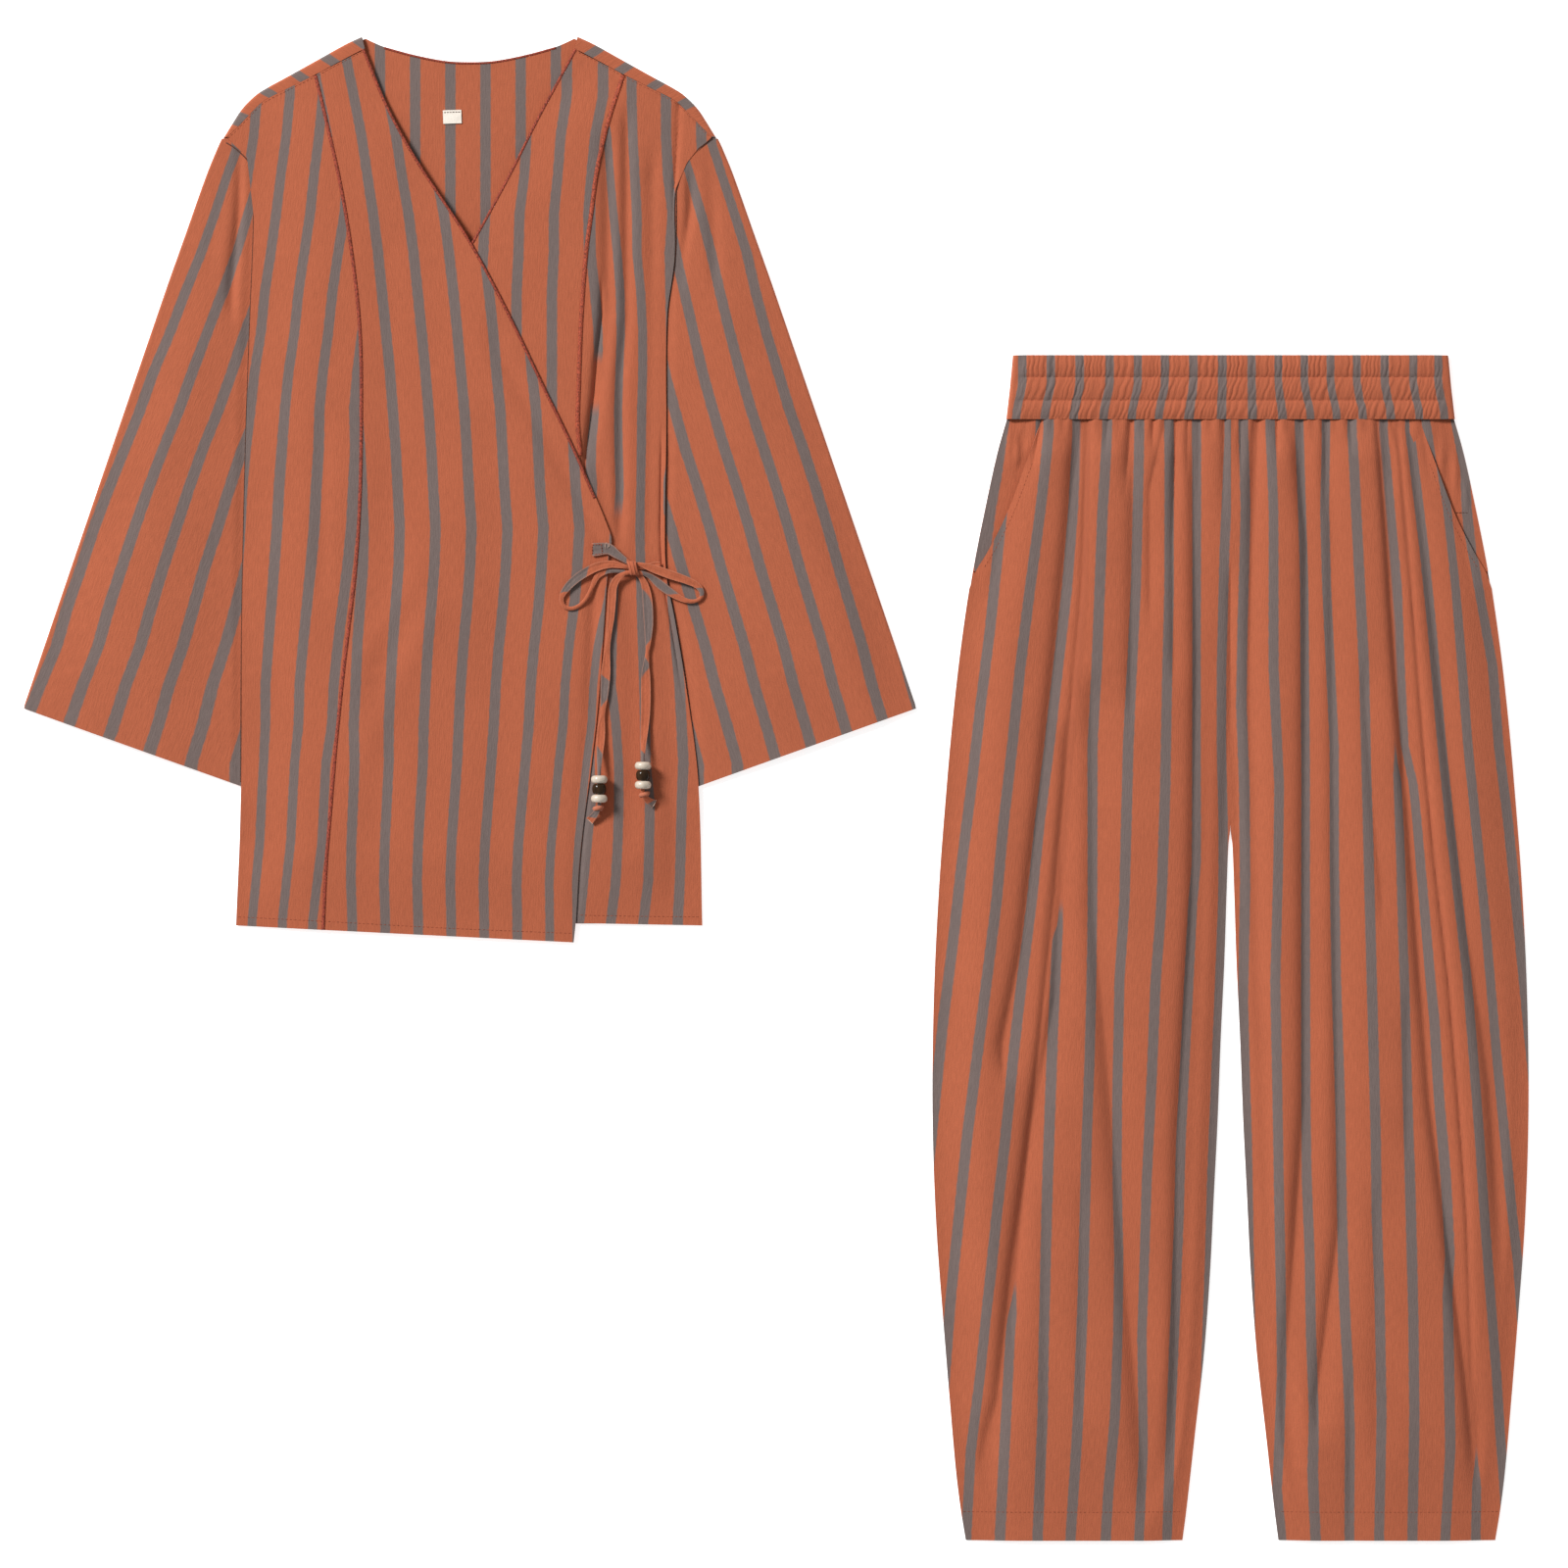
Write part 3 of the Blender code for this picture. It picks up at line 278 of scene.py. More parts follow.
LINES_RIGHT_LEG = (
    (0, (
        (62, -180), (126, -186.4), (158, -189.6), (222, -196), (286, -204), (350, -211.2), (414, -219.2),
        (478, -226.4), (542, -234.4), (606, -240.8), (670, -247),
    )),
    (0, (
        (62, -148), (126, -155.2), (190, -164), (254, -172), (318, -178.4), (382, -185.6), (446, -191.2),
        (510, -199.2), (574, -207.2), (638, -215.2), (702, -221.6), (766, -228), (830, -232.8),
        (894, -237.6),
    )),
    (0, (
        (62, -125.6), (126, -128.8), (190, -133.6), (254, -140.8), (318, -148), (382, -156),
        (446, -162.4), (510, -170.4), (574, -177.6), (638, -184), (702, -191.2), (766, -197.6),
        (830, -204), (894, -212), (958, -215.2),
    )),
    (780, (
        (62, -119.2), (190, -120.8), (270, -127.2), (390, -141.6), (446, -150.4), (510, -154.4),
        (574, -159.2), (638, -165.6), (702, -172), (766, -176.8), (798, -180), (830, -181.6),
        (894, -184.8),
    )),
    (470, (
        (62, -116), (190, -119.2), (270, -124.8), (350, -132), (414, -136.8), (478, -141.6),
        (542, -144.8), (606, -147.2), (670, -149.6), (734, -151.2), (798, -152.8), (862, -153.6),
        (926, -156),
    )),
    (0, (
        (62, -100.8), (126, -104.8), (190, -107.2), (254, -109.6), (318, -112.8), (446, -112.8),
        (510, -113.6), (574, -115.2), (638, -117.6), (702, -119.2), (766, -120.8), (830, -123.2),
        (894, -126.4), (958, -130.4),
    )),
    (0, (
        (62, -74.4), (126, -76), (190, -77.6), (254, -80.8), (318, -84), (382, -85.6), (446, -87.2),
        (510, -91.2), (606, -92.8), (670, -92.8), (734, -91.2), (798, -92), (862, -94.4), (926, -100),
        (958, -101.6),
    )),
    (0, (
        (62, -50.4), (190, -50.4), (254, -52), (350, -53.6), (446, -56.8), (510, -61.6), (590, -64.8),
        (670, -68.8), (750, -71.2), (798, -72.8), (894, -71.2), (958, -74.4),
    )),
    (0, (
        (62, -28), (414, -28), (446, -31.2), (510, -34.4), (574, -37.6), (638, -40.8), (702, -42.4),
        (782, -45.6), (862, -48.8), (910, -50.4), (958, -52),
    )),
    (0, (
        (62, -0.8), (158, -5.6), (254, -8), (318, -8), (382, -6.4), (446, -6.4), (510, -8.8), (590, -12),
        (670, -15.2), (734, -16.8), (830, -20),
    )),
)
LINES_LEFT_LEG = (
    (0, ((62, 10.4), (126, 12), (222, 9.6), (286, 8.8), (350, 11.2), (430, 12), (526, 10.4), (590, 12),
         (638, 13.6), (734, 15.2))),
    (0, ((62, 32), (126, 34.4), (254, 34.4), (286, 36), (350, 39.2), (414, 38.4), (510, 36), (590, 37.6),
         (686, 39.2), (766, 40.8), (830, 41.6), (894, 39.2), (926, 37.6), (958, 40.8))),
    (0, ((62, 56), (190, 60), (350, 60.8), (606, 60.8), (670, 61.6), (734, 64), (798, 64.8), (862, 67.2),
         (910, 66.4), (958, 68.8))),
    (0, ((62, 77.6), (126, 76), (190, 77.6), (254, 80.8), (318, 84), (414, 84), (510, 85.6), (606, 88.8),
         (702, 90.4), (766, 92), (830, 95.2), (878, 96.8), (958, 96.8))),
    (0, ((62, 98.4), (126, 101.6), (190, 104.8), (254, 108), (318, 109.6), (382, 111.2), (446, 112.8),
         (510, 114.4), (574, 116), (638, 117.6), (702, 118.4), (766, 120.8), (862, 122.4), (958, 120.8))),
    (340, ((62, 117.6), (158, 125.6), (222, 130.4), (286, 132.8), (350, 136), (414, 138.4), (478, 140),
           (526, 141.6), (590, 143.2), (654, 144.8), (718, 146.4), (782, 148), (862, 148.8), (958, 148))),
    (0, ((62, 124), (126, 129.6), (190, 135.2), (254, 137.6), (318, 140.8), (350, 148), (382, 151.2),
         (446, 156.8), (510, 162.4), (542, 165.6), (606, 169.6), (670, 175.2), (734, 178.4), (766, 176),
         (894, 178.4), (958, 175.2))),
    (915, ((62, 135.2), (190, 146.4), (318, 156), (414, 165.6), (510, 176.8), (606, 184.8), (702, 191.2),
           (766, 194.4), (830, 196), (894, 200.8), (958, 200))),
    (0, ((62, 146.4), (158, 157.6), (222, 164), (318, 172), (382, 178.4), (446, 185.6), (510, 192.8),
         (574, 197.6), (638, 202.4), (702, 206.4), (782, 212.8), (830, 216.8), (878, 220), (926, 223.2))),
    (0, ((62, 167.2), (126, 176.8), (190, 183.2), (254, 188), (318, 192.8), (382, 199.2), (446, 205.6),
         (510, 211.2), (574, 216.8), (638, 223.2), (702, 229.6), (742, 234.4), (830, 240.8))),
    (0, ((62, 178), (158, 196), (254, 213.6), (318, 218.4), (382, 226.4), (446, 232.8), (510, 239.2),
         (574, 245.6))),
)
STRIPES_FACING_RIGHT = ((52, -184.5, 30), (94, -191.2, 36), (126, -197.6, 42), (158, -202.4, 46))
STRIPES_FACING_LEFT = ((52, 183, 24), (94, 191.2, 26), (126, 192.8, 28), (158, 196, 30))
BAND_STRIPES = (
    (-181, -7.47), (-170, -7), (-146.8, -6), (-123.3, -5), (-98.8, -4), (-75.9, -3), (-54, -2),
    (-30.7, -1), (-7.2, 0), (17, 1), (38.6, 2), (59.8, 3), (81.1, 4), (102.4, 5), (125.2, 6), (148.8, 7),
    (168.5, 8), (181, 8.5),
)
BAND_SLANT = 5.0

# Ties: x, down, lift over the cloth below, width of the strap, and 1 where it shows a grey stripe.
TIE_THICK = 1.2
STRAP_WALL = 0.9
TIE_CLEAR = 0.3
TIE_STEP = 1.8
BEAD_LIFT = 6.1
BEADS_RIGHT = (106.0, 613.7)
BEADS_LEFT = (141.6, 602.6)
BEAD_PITCH = 7.8
KNOT_AT = (133.4, 434.0)
TIE_RIGHT = (
    (100, 418.8, 0, 10.5, 0.3), (103, 418.6, 0, 10.5, 1), (112.8, 418, 0, 9, 1), (119.2, 422, 0, 7, 1),
    (125.6, 426.4, 0, 4.5, 1), (130.4, 429.6, 0.5, 2.8, 0), (134.4, 430.6, 1.3, 2.6, 0),
    (139.2, 430.9, 1.8, 3, 0), (150.4, 434.4, 1.8, 6.5, 0), (164, 439.2, 1.8, 7, 0),
    (176.8, 443.6, 1.2, 6, 0), (185.6, 448, 0.8, 4.8, 0.2), (189.3, 453.6, 0.4, 3.4, 1),
    (187.9, 458.6, 0, 2.6, 0), (181.5, 460.9, 0, 2.6, 0), (173, 458.8, 0, 4, 0),
    (163.5, 453.2, 0, 6.4, 0.7), (155, 446.8, 0, 7, 1), (149, 441.8, 0, 5, 1), (144, 438.8, 0.9, 3, 1),
    (137.6, 437.2, 1.8, 2.6, 0), (132, 437.2, 1.8, 2.6, 0), (126.4, 438.4, 1.8, 3, 0),
    (120.8, 442, 0.9, 5, 0), (117, 449.2, 0, 6.6, 0), (116.2, 458, 0, 6.8, 0), (115.4, 473, 0, 5.6, 0),
    (112.8, 496, 0, 3.8, 0), (111.3, 516, 0, 7.2, 0), (110.6, 528, 0, 7.2, 0.9), (109.9, 538, 0, 6, 0.9),
    (108.7, 552, 0, 3.4, 0), (107.6, 564, 0, 6, 0), (107, 574, 0.6, 6.5, 0), (106.2, 590, 4.2, 4, 1),
    (106, 600, 6.1, 2.4, 1), (106, 613.7, 6.1, 2.4, 0), (106, 627, 6.1, 2.4, 1), (103, 633.5, 3.2, 5, 1),
    (98, 639.5, 0, 6.7, 0),
)
TIE_LEFT = (
    (155.4, 431.0, 0, 5, 0), (150.4, 431.4, 0, 5.5, 0), (144, 432.8, 0, 3.5, 0),
    (137.6, 433.9, 0.3, 2.4, 0), (132.8, 433.6, 1.2, 2.6, 0), (128, 432.8, 1.8, 2.8, 0),
    (121.6, 431.4, 1.8, 4.5, 0), (113.6, 430.8, 1.8, 6, 0), (103.2, 433.2, 1.8, 7, 0),
    (90, 440.4, 1.4, 7, 1), (80.5, 448.9, 0.9, 6, 1), (75.2, 457.6, 0.4, 3.6, 0),
    (76.8, 464.4, 0, 2.8, 0), (83, 466.8, 0, 2.6, 0), (89.5, 464.4, 0, 2.6, 0), (95, 459, 0, 2.6, 0),
    (99.8, 450, 0, 2.8, 0), (103, 442.4, 0, 4, 0), (107.8, 437.6, 0, 5, 0), (115.2, 436, 0, 3.2, 1),
    (123.2, 436.4, 0, 2.6, 1), (132, 437.2, 0, 2.6, 0), (137.6, 439.2, 0, 3, 0), (142, 445.2, 0, 5, 0),
    (144.4, 455, 0, 7.4, 0.55), (145.4, 467, 0, 8.2, 0.8), (145.9, 480, 0, 7.4, 0.9),
    (145.6, 492, 0, 5, 0.7), (145.1, 502, 0, 2.6, 0), (144, 512, 0, 4.6, 0.8), (143.6, 520, 0, 7, 0.4),
    (143.7, 532, 0, 7.8, 0), (143.6, 548, 0, 7.6, 0), (142.8, 563, 0.6, 6.5, 0), (141.8, 579, 4.2, 4, 0),
    (141.6, 589, 6.1, 2.4, 1), (141.6, 602.6, 6.1, 2.4, 0), (141.6, 616, 6.1, 2.4, 0),
    (144.5, 622, 3.2, 5, 0), (150.5, 626, 0, 6.7, 1),
)

LABEL_CENTRE = (-14.4, 65.2)
LABEL_SIZE = (15.0, 11.0)
LABEL_TILT = math.radians(2)

# A row of stitches: length, gap and radius of the thread.
STITCH = (2.6, 0.9, 0.22)
ANCHOR_STITCH = (1.9, 0.5, 0.36)
FACING_STITCH = (2.4, 0.2, 0.3)
BAND_STITCH = (2.2, 0.8, 0.24)
LABEL_STITCH = (2.0, 0.3, 0.28)
LEG_HEM_STITCHES = 943.0

# Beads from the top of each tail: radius, half length, and how much of the radius is rounded off.
BEADS = (
    ("upper", -1, 6.7, 3.3, 0.5),
    ("middle", 0, 5.75, 4.15, 0.40),
    ("lower", 1, 6.7, 3.3, 0.5),
)
BEAD_SIDES = (("right", -1, BEADS_RIGHT), ("left", 1, BEADS_LEFT))
BEAD_BORE = 1.75
LEGS = (("right", -1, FOLDS_RIGHT_LEG), ("left", 1, FOLDS_LEFT_LEG))

ORANGE = (0.437, 0.114, 0.053)
GREY = (0.170, 0.127, 0.116)
SEAM_RED = (0.290, 0.050, 0.026)
SEAM_BRIGHT = (0.34, 0.062, 0.028)
THREAD_ORANGE = (0.30, 0.068, 0.030)
# Painted highlight along the folded edges of the straps and the knot.
PAINTED_EDGE_HIGHLIGHT = (0.66, 0.27, 0.17)
BEAD_CREAM = (0.68, 0.58, 0.47)
BEAD_DARK = (0.024, 0.012, 0.005)
LABEL_TAPE = (0.90, 0.82, 0.72)
FLOOR_WHITE = (0.97, 0.97, 0.97)
FLOOR_GLOW = 0.7
THREAD_PALE = (0.62, 0.42, 0.32)
# Brown thread for stitches, also used for the painted shadow lines between the body and the sleeves.
BROWN_THREAD_AND_PAINTED_SHADOW = (0.115, 0.045, 0.028)

# Half of a stripe's width, as a share of the pitch, and where its soft edge starts and ends.
STRIPE_HALF = 0.149
STRIPE_EDGE = (0.130, 0.168)

# The overhead camera, and one large soft lamp beyond the upper left of the photograph. In metres.
CAMERA_AT = (0.0064, 0.0038, 4.0)
CAMERA_LENS = 112.5
LAMP_AT = (-8.4, 6.9, 9.0)
LAMP_SIZE = 4.0
LAMP_POWER = 2300
WORLD_LIGHT = 0.34
FLOOR_HALF = 4.0


def ease(value, start, end):
    """0 before start, 1 after end, and a smooth rise between them."""
    share = np.clip((np.asarray(value, float) - start) / (end - start), 0, 1)
    return share * share * (3 - 2 * share)


def read(table, key):
    """The second column of a table where the first one has this value, with straight lines between rows."""
    return np.interp(key, [row[0] for row in table], [row[1] for row in table])


def across(points, down):
    """x on an edge at this distance down."""
    table = sorted((p[1], p[0]) for p in points)
    return np.interp(down, [row[0] for row in table], [row[1] for row in table])


def walk(points, share):
    """Points at these shares of a line's length."""
    points = np.asarray(points, float)
    lengths = np.concatenate([[0], np.cumsum(np.linalg.norm(np.diff(points, axis=0), axis=1))])
    at = np.asarray(share, float) * lengths[-1]
    return np.stack([np.interp(at, lengths, points[:, axis]) for axis in range(points.shape[1])], axis=-1)


def smooth(points, steps=8):
    """A line through the same points with no corners between them."""
    points = np.array(points, float)
    padded = np.vstack([2 * points[0] - points[1], points, 2 * points[-1] - points[-2]])
    found = []
    for i in range(1, len(padded) - 2):
        before, start, end, after = padded[i - 1 : i + 3]
        span = np.linalg.norm(end - start)
        leave = (end - before) * span / (span + np.linalg.norm(start - before))
        arrive = (after - start) * span / (span + np.linalg.norm(after - end))
        for t in np.arange(steps) / steps:
            found.append(
                (2 * t**3 - 3 * t**2 + 1) * start + (t**3 - 2 * t**2 + t) * leave
                + (3 * t**2 - 2 * t**3) * end + (t**3 - t**2) * arrive
            )
    found.append(points[-1])
    return np.array(found)


def smooth_route(points, spacing):
    """Points along a smooth curve through the route's own points, about this far apart."""
    points = np.array(points, float)
    padded = np.vstack([2 * points[0] - points[1], points, 2 * points[-1] - points[-2]])
    found = []
    for i in range(1, len(padded) - 2):
        before, start, end, after = padded[i - 1 : i + 3]
        steps = max(1, round(np.linalg.norm((end - start)[:2]) / spacing))
        for step in range(steps):
            t = step / steps
            bend = 2 * before - 5 * start + 4 * end - after
            twist = 3 * start - before - 3 * end + after
            found.append(start + 0.5 * (t * (end - before) + t**2 * bend + t**3 * twist))
    found.append(points[-1])
    return np.array(found)


def mirrored(points):
    return tuple((-x, down) for x, down in points)


def shifted(points, dx=0.0, ddown=0.0):
    return tuple((x + dx, down + ddown) for x, down in points)


def inset(points, inwards, gap=1.5 * SEAM_GAP):
    return shifted(points, dx=inwards * gap, ddown=-gap)


def part_of(points, start, end):
    """The stretch of an edge between two distances down, with its ends cut to them."""
    inside = [tuple(p) for p in points if start < p[1] < end]
    return ((float(across(points, start)), start), *inside, (float(across(points, end)), end))


def patch(top, bottom, left, right, u, v):
    """Points inside four edges: u runs from left to right and v from top to bottom."""
    u1 = u[..., None]
    v1 = v[..., None]
    along = (1 - v1) * walk(top, u) + v1 * walk(bottom, u)
    beside = (1 - u1) * walk(left, v) + u1 * walk(right, v)
    upper = (1 - u1) * walk(top, 0) + u1 * walk(top, 1)
    lower = (1 - u1) * walk(bottom, 0) + u1 * walk(bottom, 1)
    return along + beside - (1 - v1) * upper - v1 * lower


def grid(columns, rows):
    """u and v from 0 to 1 over a grid of this many cells."""
    return np.meshgrid(np.linspace(0, 1, columns + 1), np.linspace(0, 1, rows + 1))


def fold_depth(folds, x, down, skew=0.0, power=2.0):
    """How far the folds sink the cloth. Each fades out over 40 mm past its ends.

    With skew a fold is steep on its left and gentle on its right, and a lower power gives it a sharper line.
    """
    depth = np.zeros(np.shape(x))
    for line, deep, half_width in folds:
        offset = x - across(line, down)
        beside = np.abs(offset) / (half_width * np.where(offset > 0, 1 + skew, 1 - skew))
        ends = ease(down, line[0][1] - 40, line[0][1]) * (1 - ease(down, line[-1][1], line[-1][1] + 40))
        depth += deep * ends * np.exp(-(beside**power))
    return depth


def pleat_depth(pleats, x, down):
    """Short pleats that the gathered waist seam pulls in: each starts at the seam and fades downwards."""
    depth = np.zeros(np.shape(x))
    for start, end, length, deep, half_width in pleats:
        along = (down - WAIST_SEAM) / length
        beside = np.abs(x - (start + (end - start) * along)) / (half_width * (0.8 + along))
        depth += 1.6 * deep * (1 - ease(along, 0.3, 1.1)) * np.exp(-(beside**1.1))
    return depth


def dents(places, x, down):
    """Small round hollows: (x, down, depth, half width, half height). A bump has a negative depth."""
    depth = np.zeros(np.shape(x))
    for at_x, at_down, deep, half_width, half_height in places:
        away = ((x - at_x) / half_width) ** 2 + ((down - at_down) / half_height) ** 2
        depth += deep * np.exp(-away)
    return depth


def waviness(x, down, size):
    """Small soft unevenness of laid cloth, about 1 at most."""
    a = np.sin(x / (0.31 * size) + 1.3 * np.sin(down / size) + 0.7)
    b = np.sin(down / (0.62 * size) + 1.1 * np.sin(x / (0.8 * size)) + 2.1)
    c = np.sin((x + 0.35 * down) / (0.47 * size) + 4.0)
    return (a * b + 0.6 * c) / 1.6


def stripe_phase(table, x, down):
    """Stripe number at a point, a whole number on each stripe's middle."""
    downs = [row[0] for row in table]
    start = np.interp(down, downs, [row[1] for row in table])
    pitch = np.interp(down, downs, [row[2] for row in table])
    return (x - start) / pitch


def line_places(lines, x, down):
    """Where each stripe runs at these distances down, and how far a crease hides it."""
    at = []
    hidden = []
    for above, line in lines:
        downs = np.array([p[0] for p in line], float)
        places = np.array([p[1] for p in line], float)
        slope = (places[-1] - places[-2]) / (downs[-1] - downs[-2])
        past = np.maximum(down - downs[-1], 0) * slope
        at.append(np.interp(down, downs, places) + past)
        hidden.append(1 - ease(down, above - 35, above + 10) if above else np.zeros(np.shape(x)))
    for i in range(1, len(at)):
        at[i] = np.maximum(at[i], at[i - 1] + 3.0)
    return at, hidden


def line_plain(lines, x, down):
    """1 where a crease swallows a whole stripe, so that none shows there."""
    plain = np.zeros(np.shape(x))
    for place, hiding in zip(*line_places(lines, x, down)):
        plain = np.maximum(plain, ease(hiding, 0.5, 0.95) * (1 - ease(np.abs(x - place), 2.4, 4.4)))
    return plain


def keep_width(share, gap):
    """Stripes that crowd together keep half of the width that they would lose."""
    half = STRIPE_HALF
    edge = np.clip(half * (0.5 + 0.5 * STRIPE_PITCH / gap), 0.05, 0.36)
    middle = half + (share - edge) * (1 - 2 * half) / (1 - 2 * edge)
    from_left = half * share / edge
    from_right = 1 - half * (1 - share) / edge
    return np.where(share < edge, from_left, np.where(share > 1 - edge, from_right, middle))


def line_phase(lines, x, down):
    """Stripe number between stripes that aren't parallel. A crease hides the stripe of a hidden line."""
    at, hidden = line_places(lines, x, down)
    count = len(at)
    before = []
    after = []
    for i in range(count):
        to_left = (at[i] - at[i - 1]) / STRIPE_PITCH if i else 0
        to_right = (at[i + 1] - at[i]) / STRIPE_PITCH if i + 1 < count else 0
        before.append(i - hidden[i] * (1 - to_left) if i else np.zeros(np.shape(x)))
        after.append(i + hidden[i] * (1 - to_right) if i + 1 < count else np.full(np.shape(x), float(i)))
    for i in range(count - 1):
        both = np.minimum(hidden[i], hidden[i + 1])
        after[i] = after[i] + both * (before[i] + 1 - after[i])
        next_before = after[i] + (at[i + 1] - at[i]) / STRIPE_PITCH
        before[i + 1] = before[i + 1] + both * (next_before - before[i + 1])
    edge = 2.2
    phase = before[0] + (x - at[0]) / STRIPE_PITCH
    for i in range(count):
        inside = ease(x, at[i] - edge, at[i] + edge) if i else (x > at[0]).astype(float)
        if i + 1 < count:
            share = (x - at[i]) / (at[i + 1] - at[i])
            even = keep_width(share, at[i + 1] - at[i])
            share = share + (even - share) * (1 - np.maximum(hidden[i], hidden[i + 1]))
            piece = after[i] + share * (before[i + 1] - after[i])
        else:
            piece = after[i] + (x - at[i]) / STRIPE_PITCH
        phase = np.where(x < at[i] - edge, phase, phase + inside * (piece - phase))
    return phase


class Nodes:
    """Short calls to make and join shader nodes."""

    def __init__(self, name):
        self.material = bpy.data.materials.new(name)
        self.material.use_nodes = True
        self.tree = self.material.node_tree
        self.shader = self.tree.nodes["Principled BSDF"]

    def add(self, kind, settings=None, **inputs):
        node = self.tree.nodes.new(kind)
        for key, value in (settings or {}).items():
            setattr(node, key, value)
        for key, value in inputs.items():
            self.feed(node, int(key[1:]) if key[0] == "i" and key[1:].isdigit() else key, value)
        return node

    def feed(self, node, key, value):
        socket = node.inputs[key]
        if isinstance(value, bpy.types.NodeSocket):
            self.tree.links.new(value, socket)
        else:
            socket.default_value = value

    def math(self, operation, a, b=0.5):
        return self.add("ShaderNodeMath", {"operation": operation}, i0=a, i1=b).outputs[0]

    def swing(self, value, size):
        """A value between 0 and 1 as a push to either side of 0."""
        return self.math("MULTIPLY", self.math("SUBTRACT", value, 0.5), size)

    def soft(self, value, low, high, to_low, to_high):
        settings = {"interpolation_type": "SMOOTHSTEP"}
        node = self.add("ShaderNodeMapRange", settings, i0=value, i1=low, i2=high, i3=to_low, i4=to_high)
        return node.outputs[0]

    def mix(self, share, a, b, blend="MIX"):
        node = self.add("ShaderNodeMix", {"data_type": "RGBA", "blend_type": blend})
        self.feed(node, 0, share)
        self.feed(node, 6, a if isinstance(a, bpy.types.NodeSocket) else (*a, 1))
        self.feed(node, 7, b if isinstance(b, bpy.types.NodeSocket) else (*b, 1))
        return node.outputs[2]

    def noise(self, vector, scale, detail=2.0, rough=0.5):
        inputs = {"Vector": vector, "Scale": scale, "Detail": detail, "Roughness": rough}
        return self.add("ShaderNodeTexNoise", {"noise_dimensions": "3D"}, **inputs).outputs[0]

    def stretched(self, vector, scale):
        node = self.add("ShaderNodeMapping", Vector=vector)
        node.inputs["Scale"].default_value = scale
        return node.outputs[0]

    def bump(self, height, strength, distance):
        return self.add("ShaderNodeBump", Strength=strength, Distance=distance, Height=height).outputs[0]

    def place(self):
        return self.add("ShaderNodeTexCoord").outputs["Object"]

    def finish(self, **inputs):
        for key, value in inputs.items():
            self.feed(self.shader, key.replace("_", " "), value)
        return self.material


def cloth_material(name, strap=False):
    """Light crinkled cotton with woven stripes. UV x counts stripes and UV y counts the same length down.

    On a strap UV x says where its grey side shows, and UV y runs across it and places a painted highlight
    along both folded edges.
    """
    n = Nodes(name)
    weave = n.add("ShaderNodeUVMap", {"uv_map": "weave"}).outputs[0]
    parts = n.add("ShaderNodeSeparateXYZ", i0=weave)
    if strap:
        at = n.place()
        slanted = n.math("ADD", parts.outputs[0], n.swing(parts.outputs[1], 0.5))
        stripe = n.soft(slanted, 0.42, 0.58, 0.0, 1.0)
        streaks = n.noise(n.stretched(at, (900, 300, 900)), 1.0, 3.0)
        threads = n.noise(at, 1500.0, 2.0)
        patches = n.noise(at, 60.0, 2.0)
    else:
        wobble = n.swing(n.noise(n.stretched(weave, (7, 5, 1)), 1.0), 0.045)
        turned = n.math("FRACT", n.math("ADD", n.math("ADD", parts.outputs[0], wobble), 0.5))
        beside = n.math("ABSOLUTE", n.math("SUBTRACT", turned, 0.5))
        plain = n.add("ShaderNodeUVMap", {"uv_map": "plain"}).outputs[0]
        shown = n.math("SUBTRACT", 1.0, n.add("ShaderNodeSeparateXYZ", i0=plain).outputs[0])
        stripe = n.math("MULTIPLY", n.soft(beside, *STRIPE_EDGE, 1.0, 0.0), shown)
        streaks = n.noise(n.stretched(weave, (26, 3.2, 1)), 1.0, 3.0, 0.6)
        threads = n.noise(n.stretched(weave, (70, 22, 1)), 1.0, 2.0)
        patches = n.noise(n.stretched(weave, (0.7, 0.45, 1)), 1.0, 2.0)
    light = 1.0
    for value, size in ((streaks, 0.42), (patches, 0.16), (threads, 0.30)):
        light = n.math("ADD", n.swing(value, size), light)
    shade = n.add("ShaderNodeCombineColor", i0=light, i1=light, i2=light).outputs[0]
    colour = n.mix(1.0, n.mix(stripe, ORANGE, GREY), shade, "MULTIPLY")
    if strap:
        # A painted highlight lightens both folded edges of the strap.
        rim = n.math("ABSOLUTE", n.math("SUBTRACT", parts.outputs[1], 0.5))
        colour = n.mix(n.soft(rim, 0.36, 0.47, 0.0, 0.30), colour, PAINTED_EDGE_HIGHLIGHT)
    height = n.math("ADD", n.math("MULTIPLY", streaks, 0.7), n.math("MULTIPLY", threads, 0.3))
    return n.finish(
        Base_Color=colour, Roughness=0.92, Normal=n.bump(height, 0.8, 0.0007),
        Sheen_Weight=0.12, Sheen_Roughness=0.5, Specular_IOR_Level=0.2,
    )


def thread_material(name, colour):
    """Sewing thread: fine twisted strands that catch the light."""
    n = Nodes(name)
    strands = n.noise(n.stretched(n.place(), (1, 0.45, 1)), 1400.0, 2.0)
    dark = tuple(0.40 * part for part in colour)
    bright = tuple(min(1.5 * part, 1) for part in colour)
    return n.finish(
        Base_Color=n.mix(n.soft(strands, 0.3, 0.7, 0.0, 1.0), dark, bright), Roughness=0.7,
        Normal=n.bump(strands, 0.6, 0.0004), Specular_IOR_Level=0.3,
    )


def bead_material(name, colour, share, roughness, coat, scale, gloss):
    """A glossy bead whose grain mixes its colour with a share of that colour."""
    n = Nodes(name)
    at = n.place()
    grain = n.noise(n.stretched(at, (1, 0.25, 1)), scale, 4.0, 0.65)
    fine = n.noise(at, scale * 6, 2.0)
    other = tuple(share * part for part in colour)
    return n.finish(
        Base_Color=n.mix(n.soft(grain, 0.3, 0.75, 0.0, 1.0), colour, other), Roughness=roughness,
        Normal=n.bump(fine, 0.15, 0.0002), Coat_Weight=coat, Coat_Roughness=0.06, Specular_IOR_Level=gloss,
    )


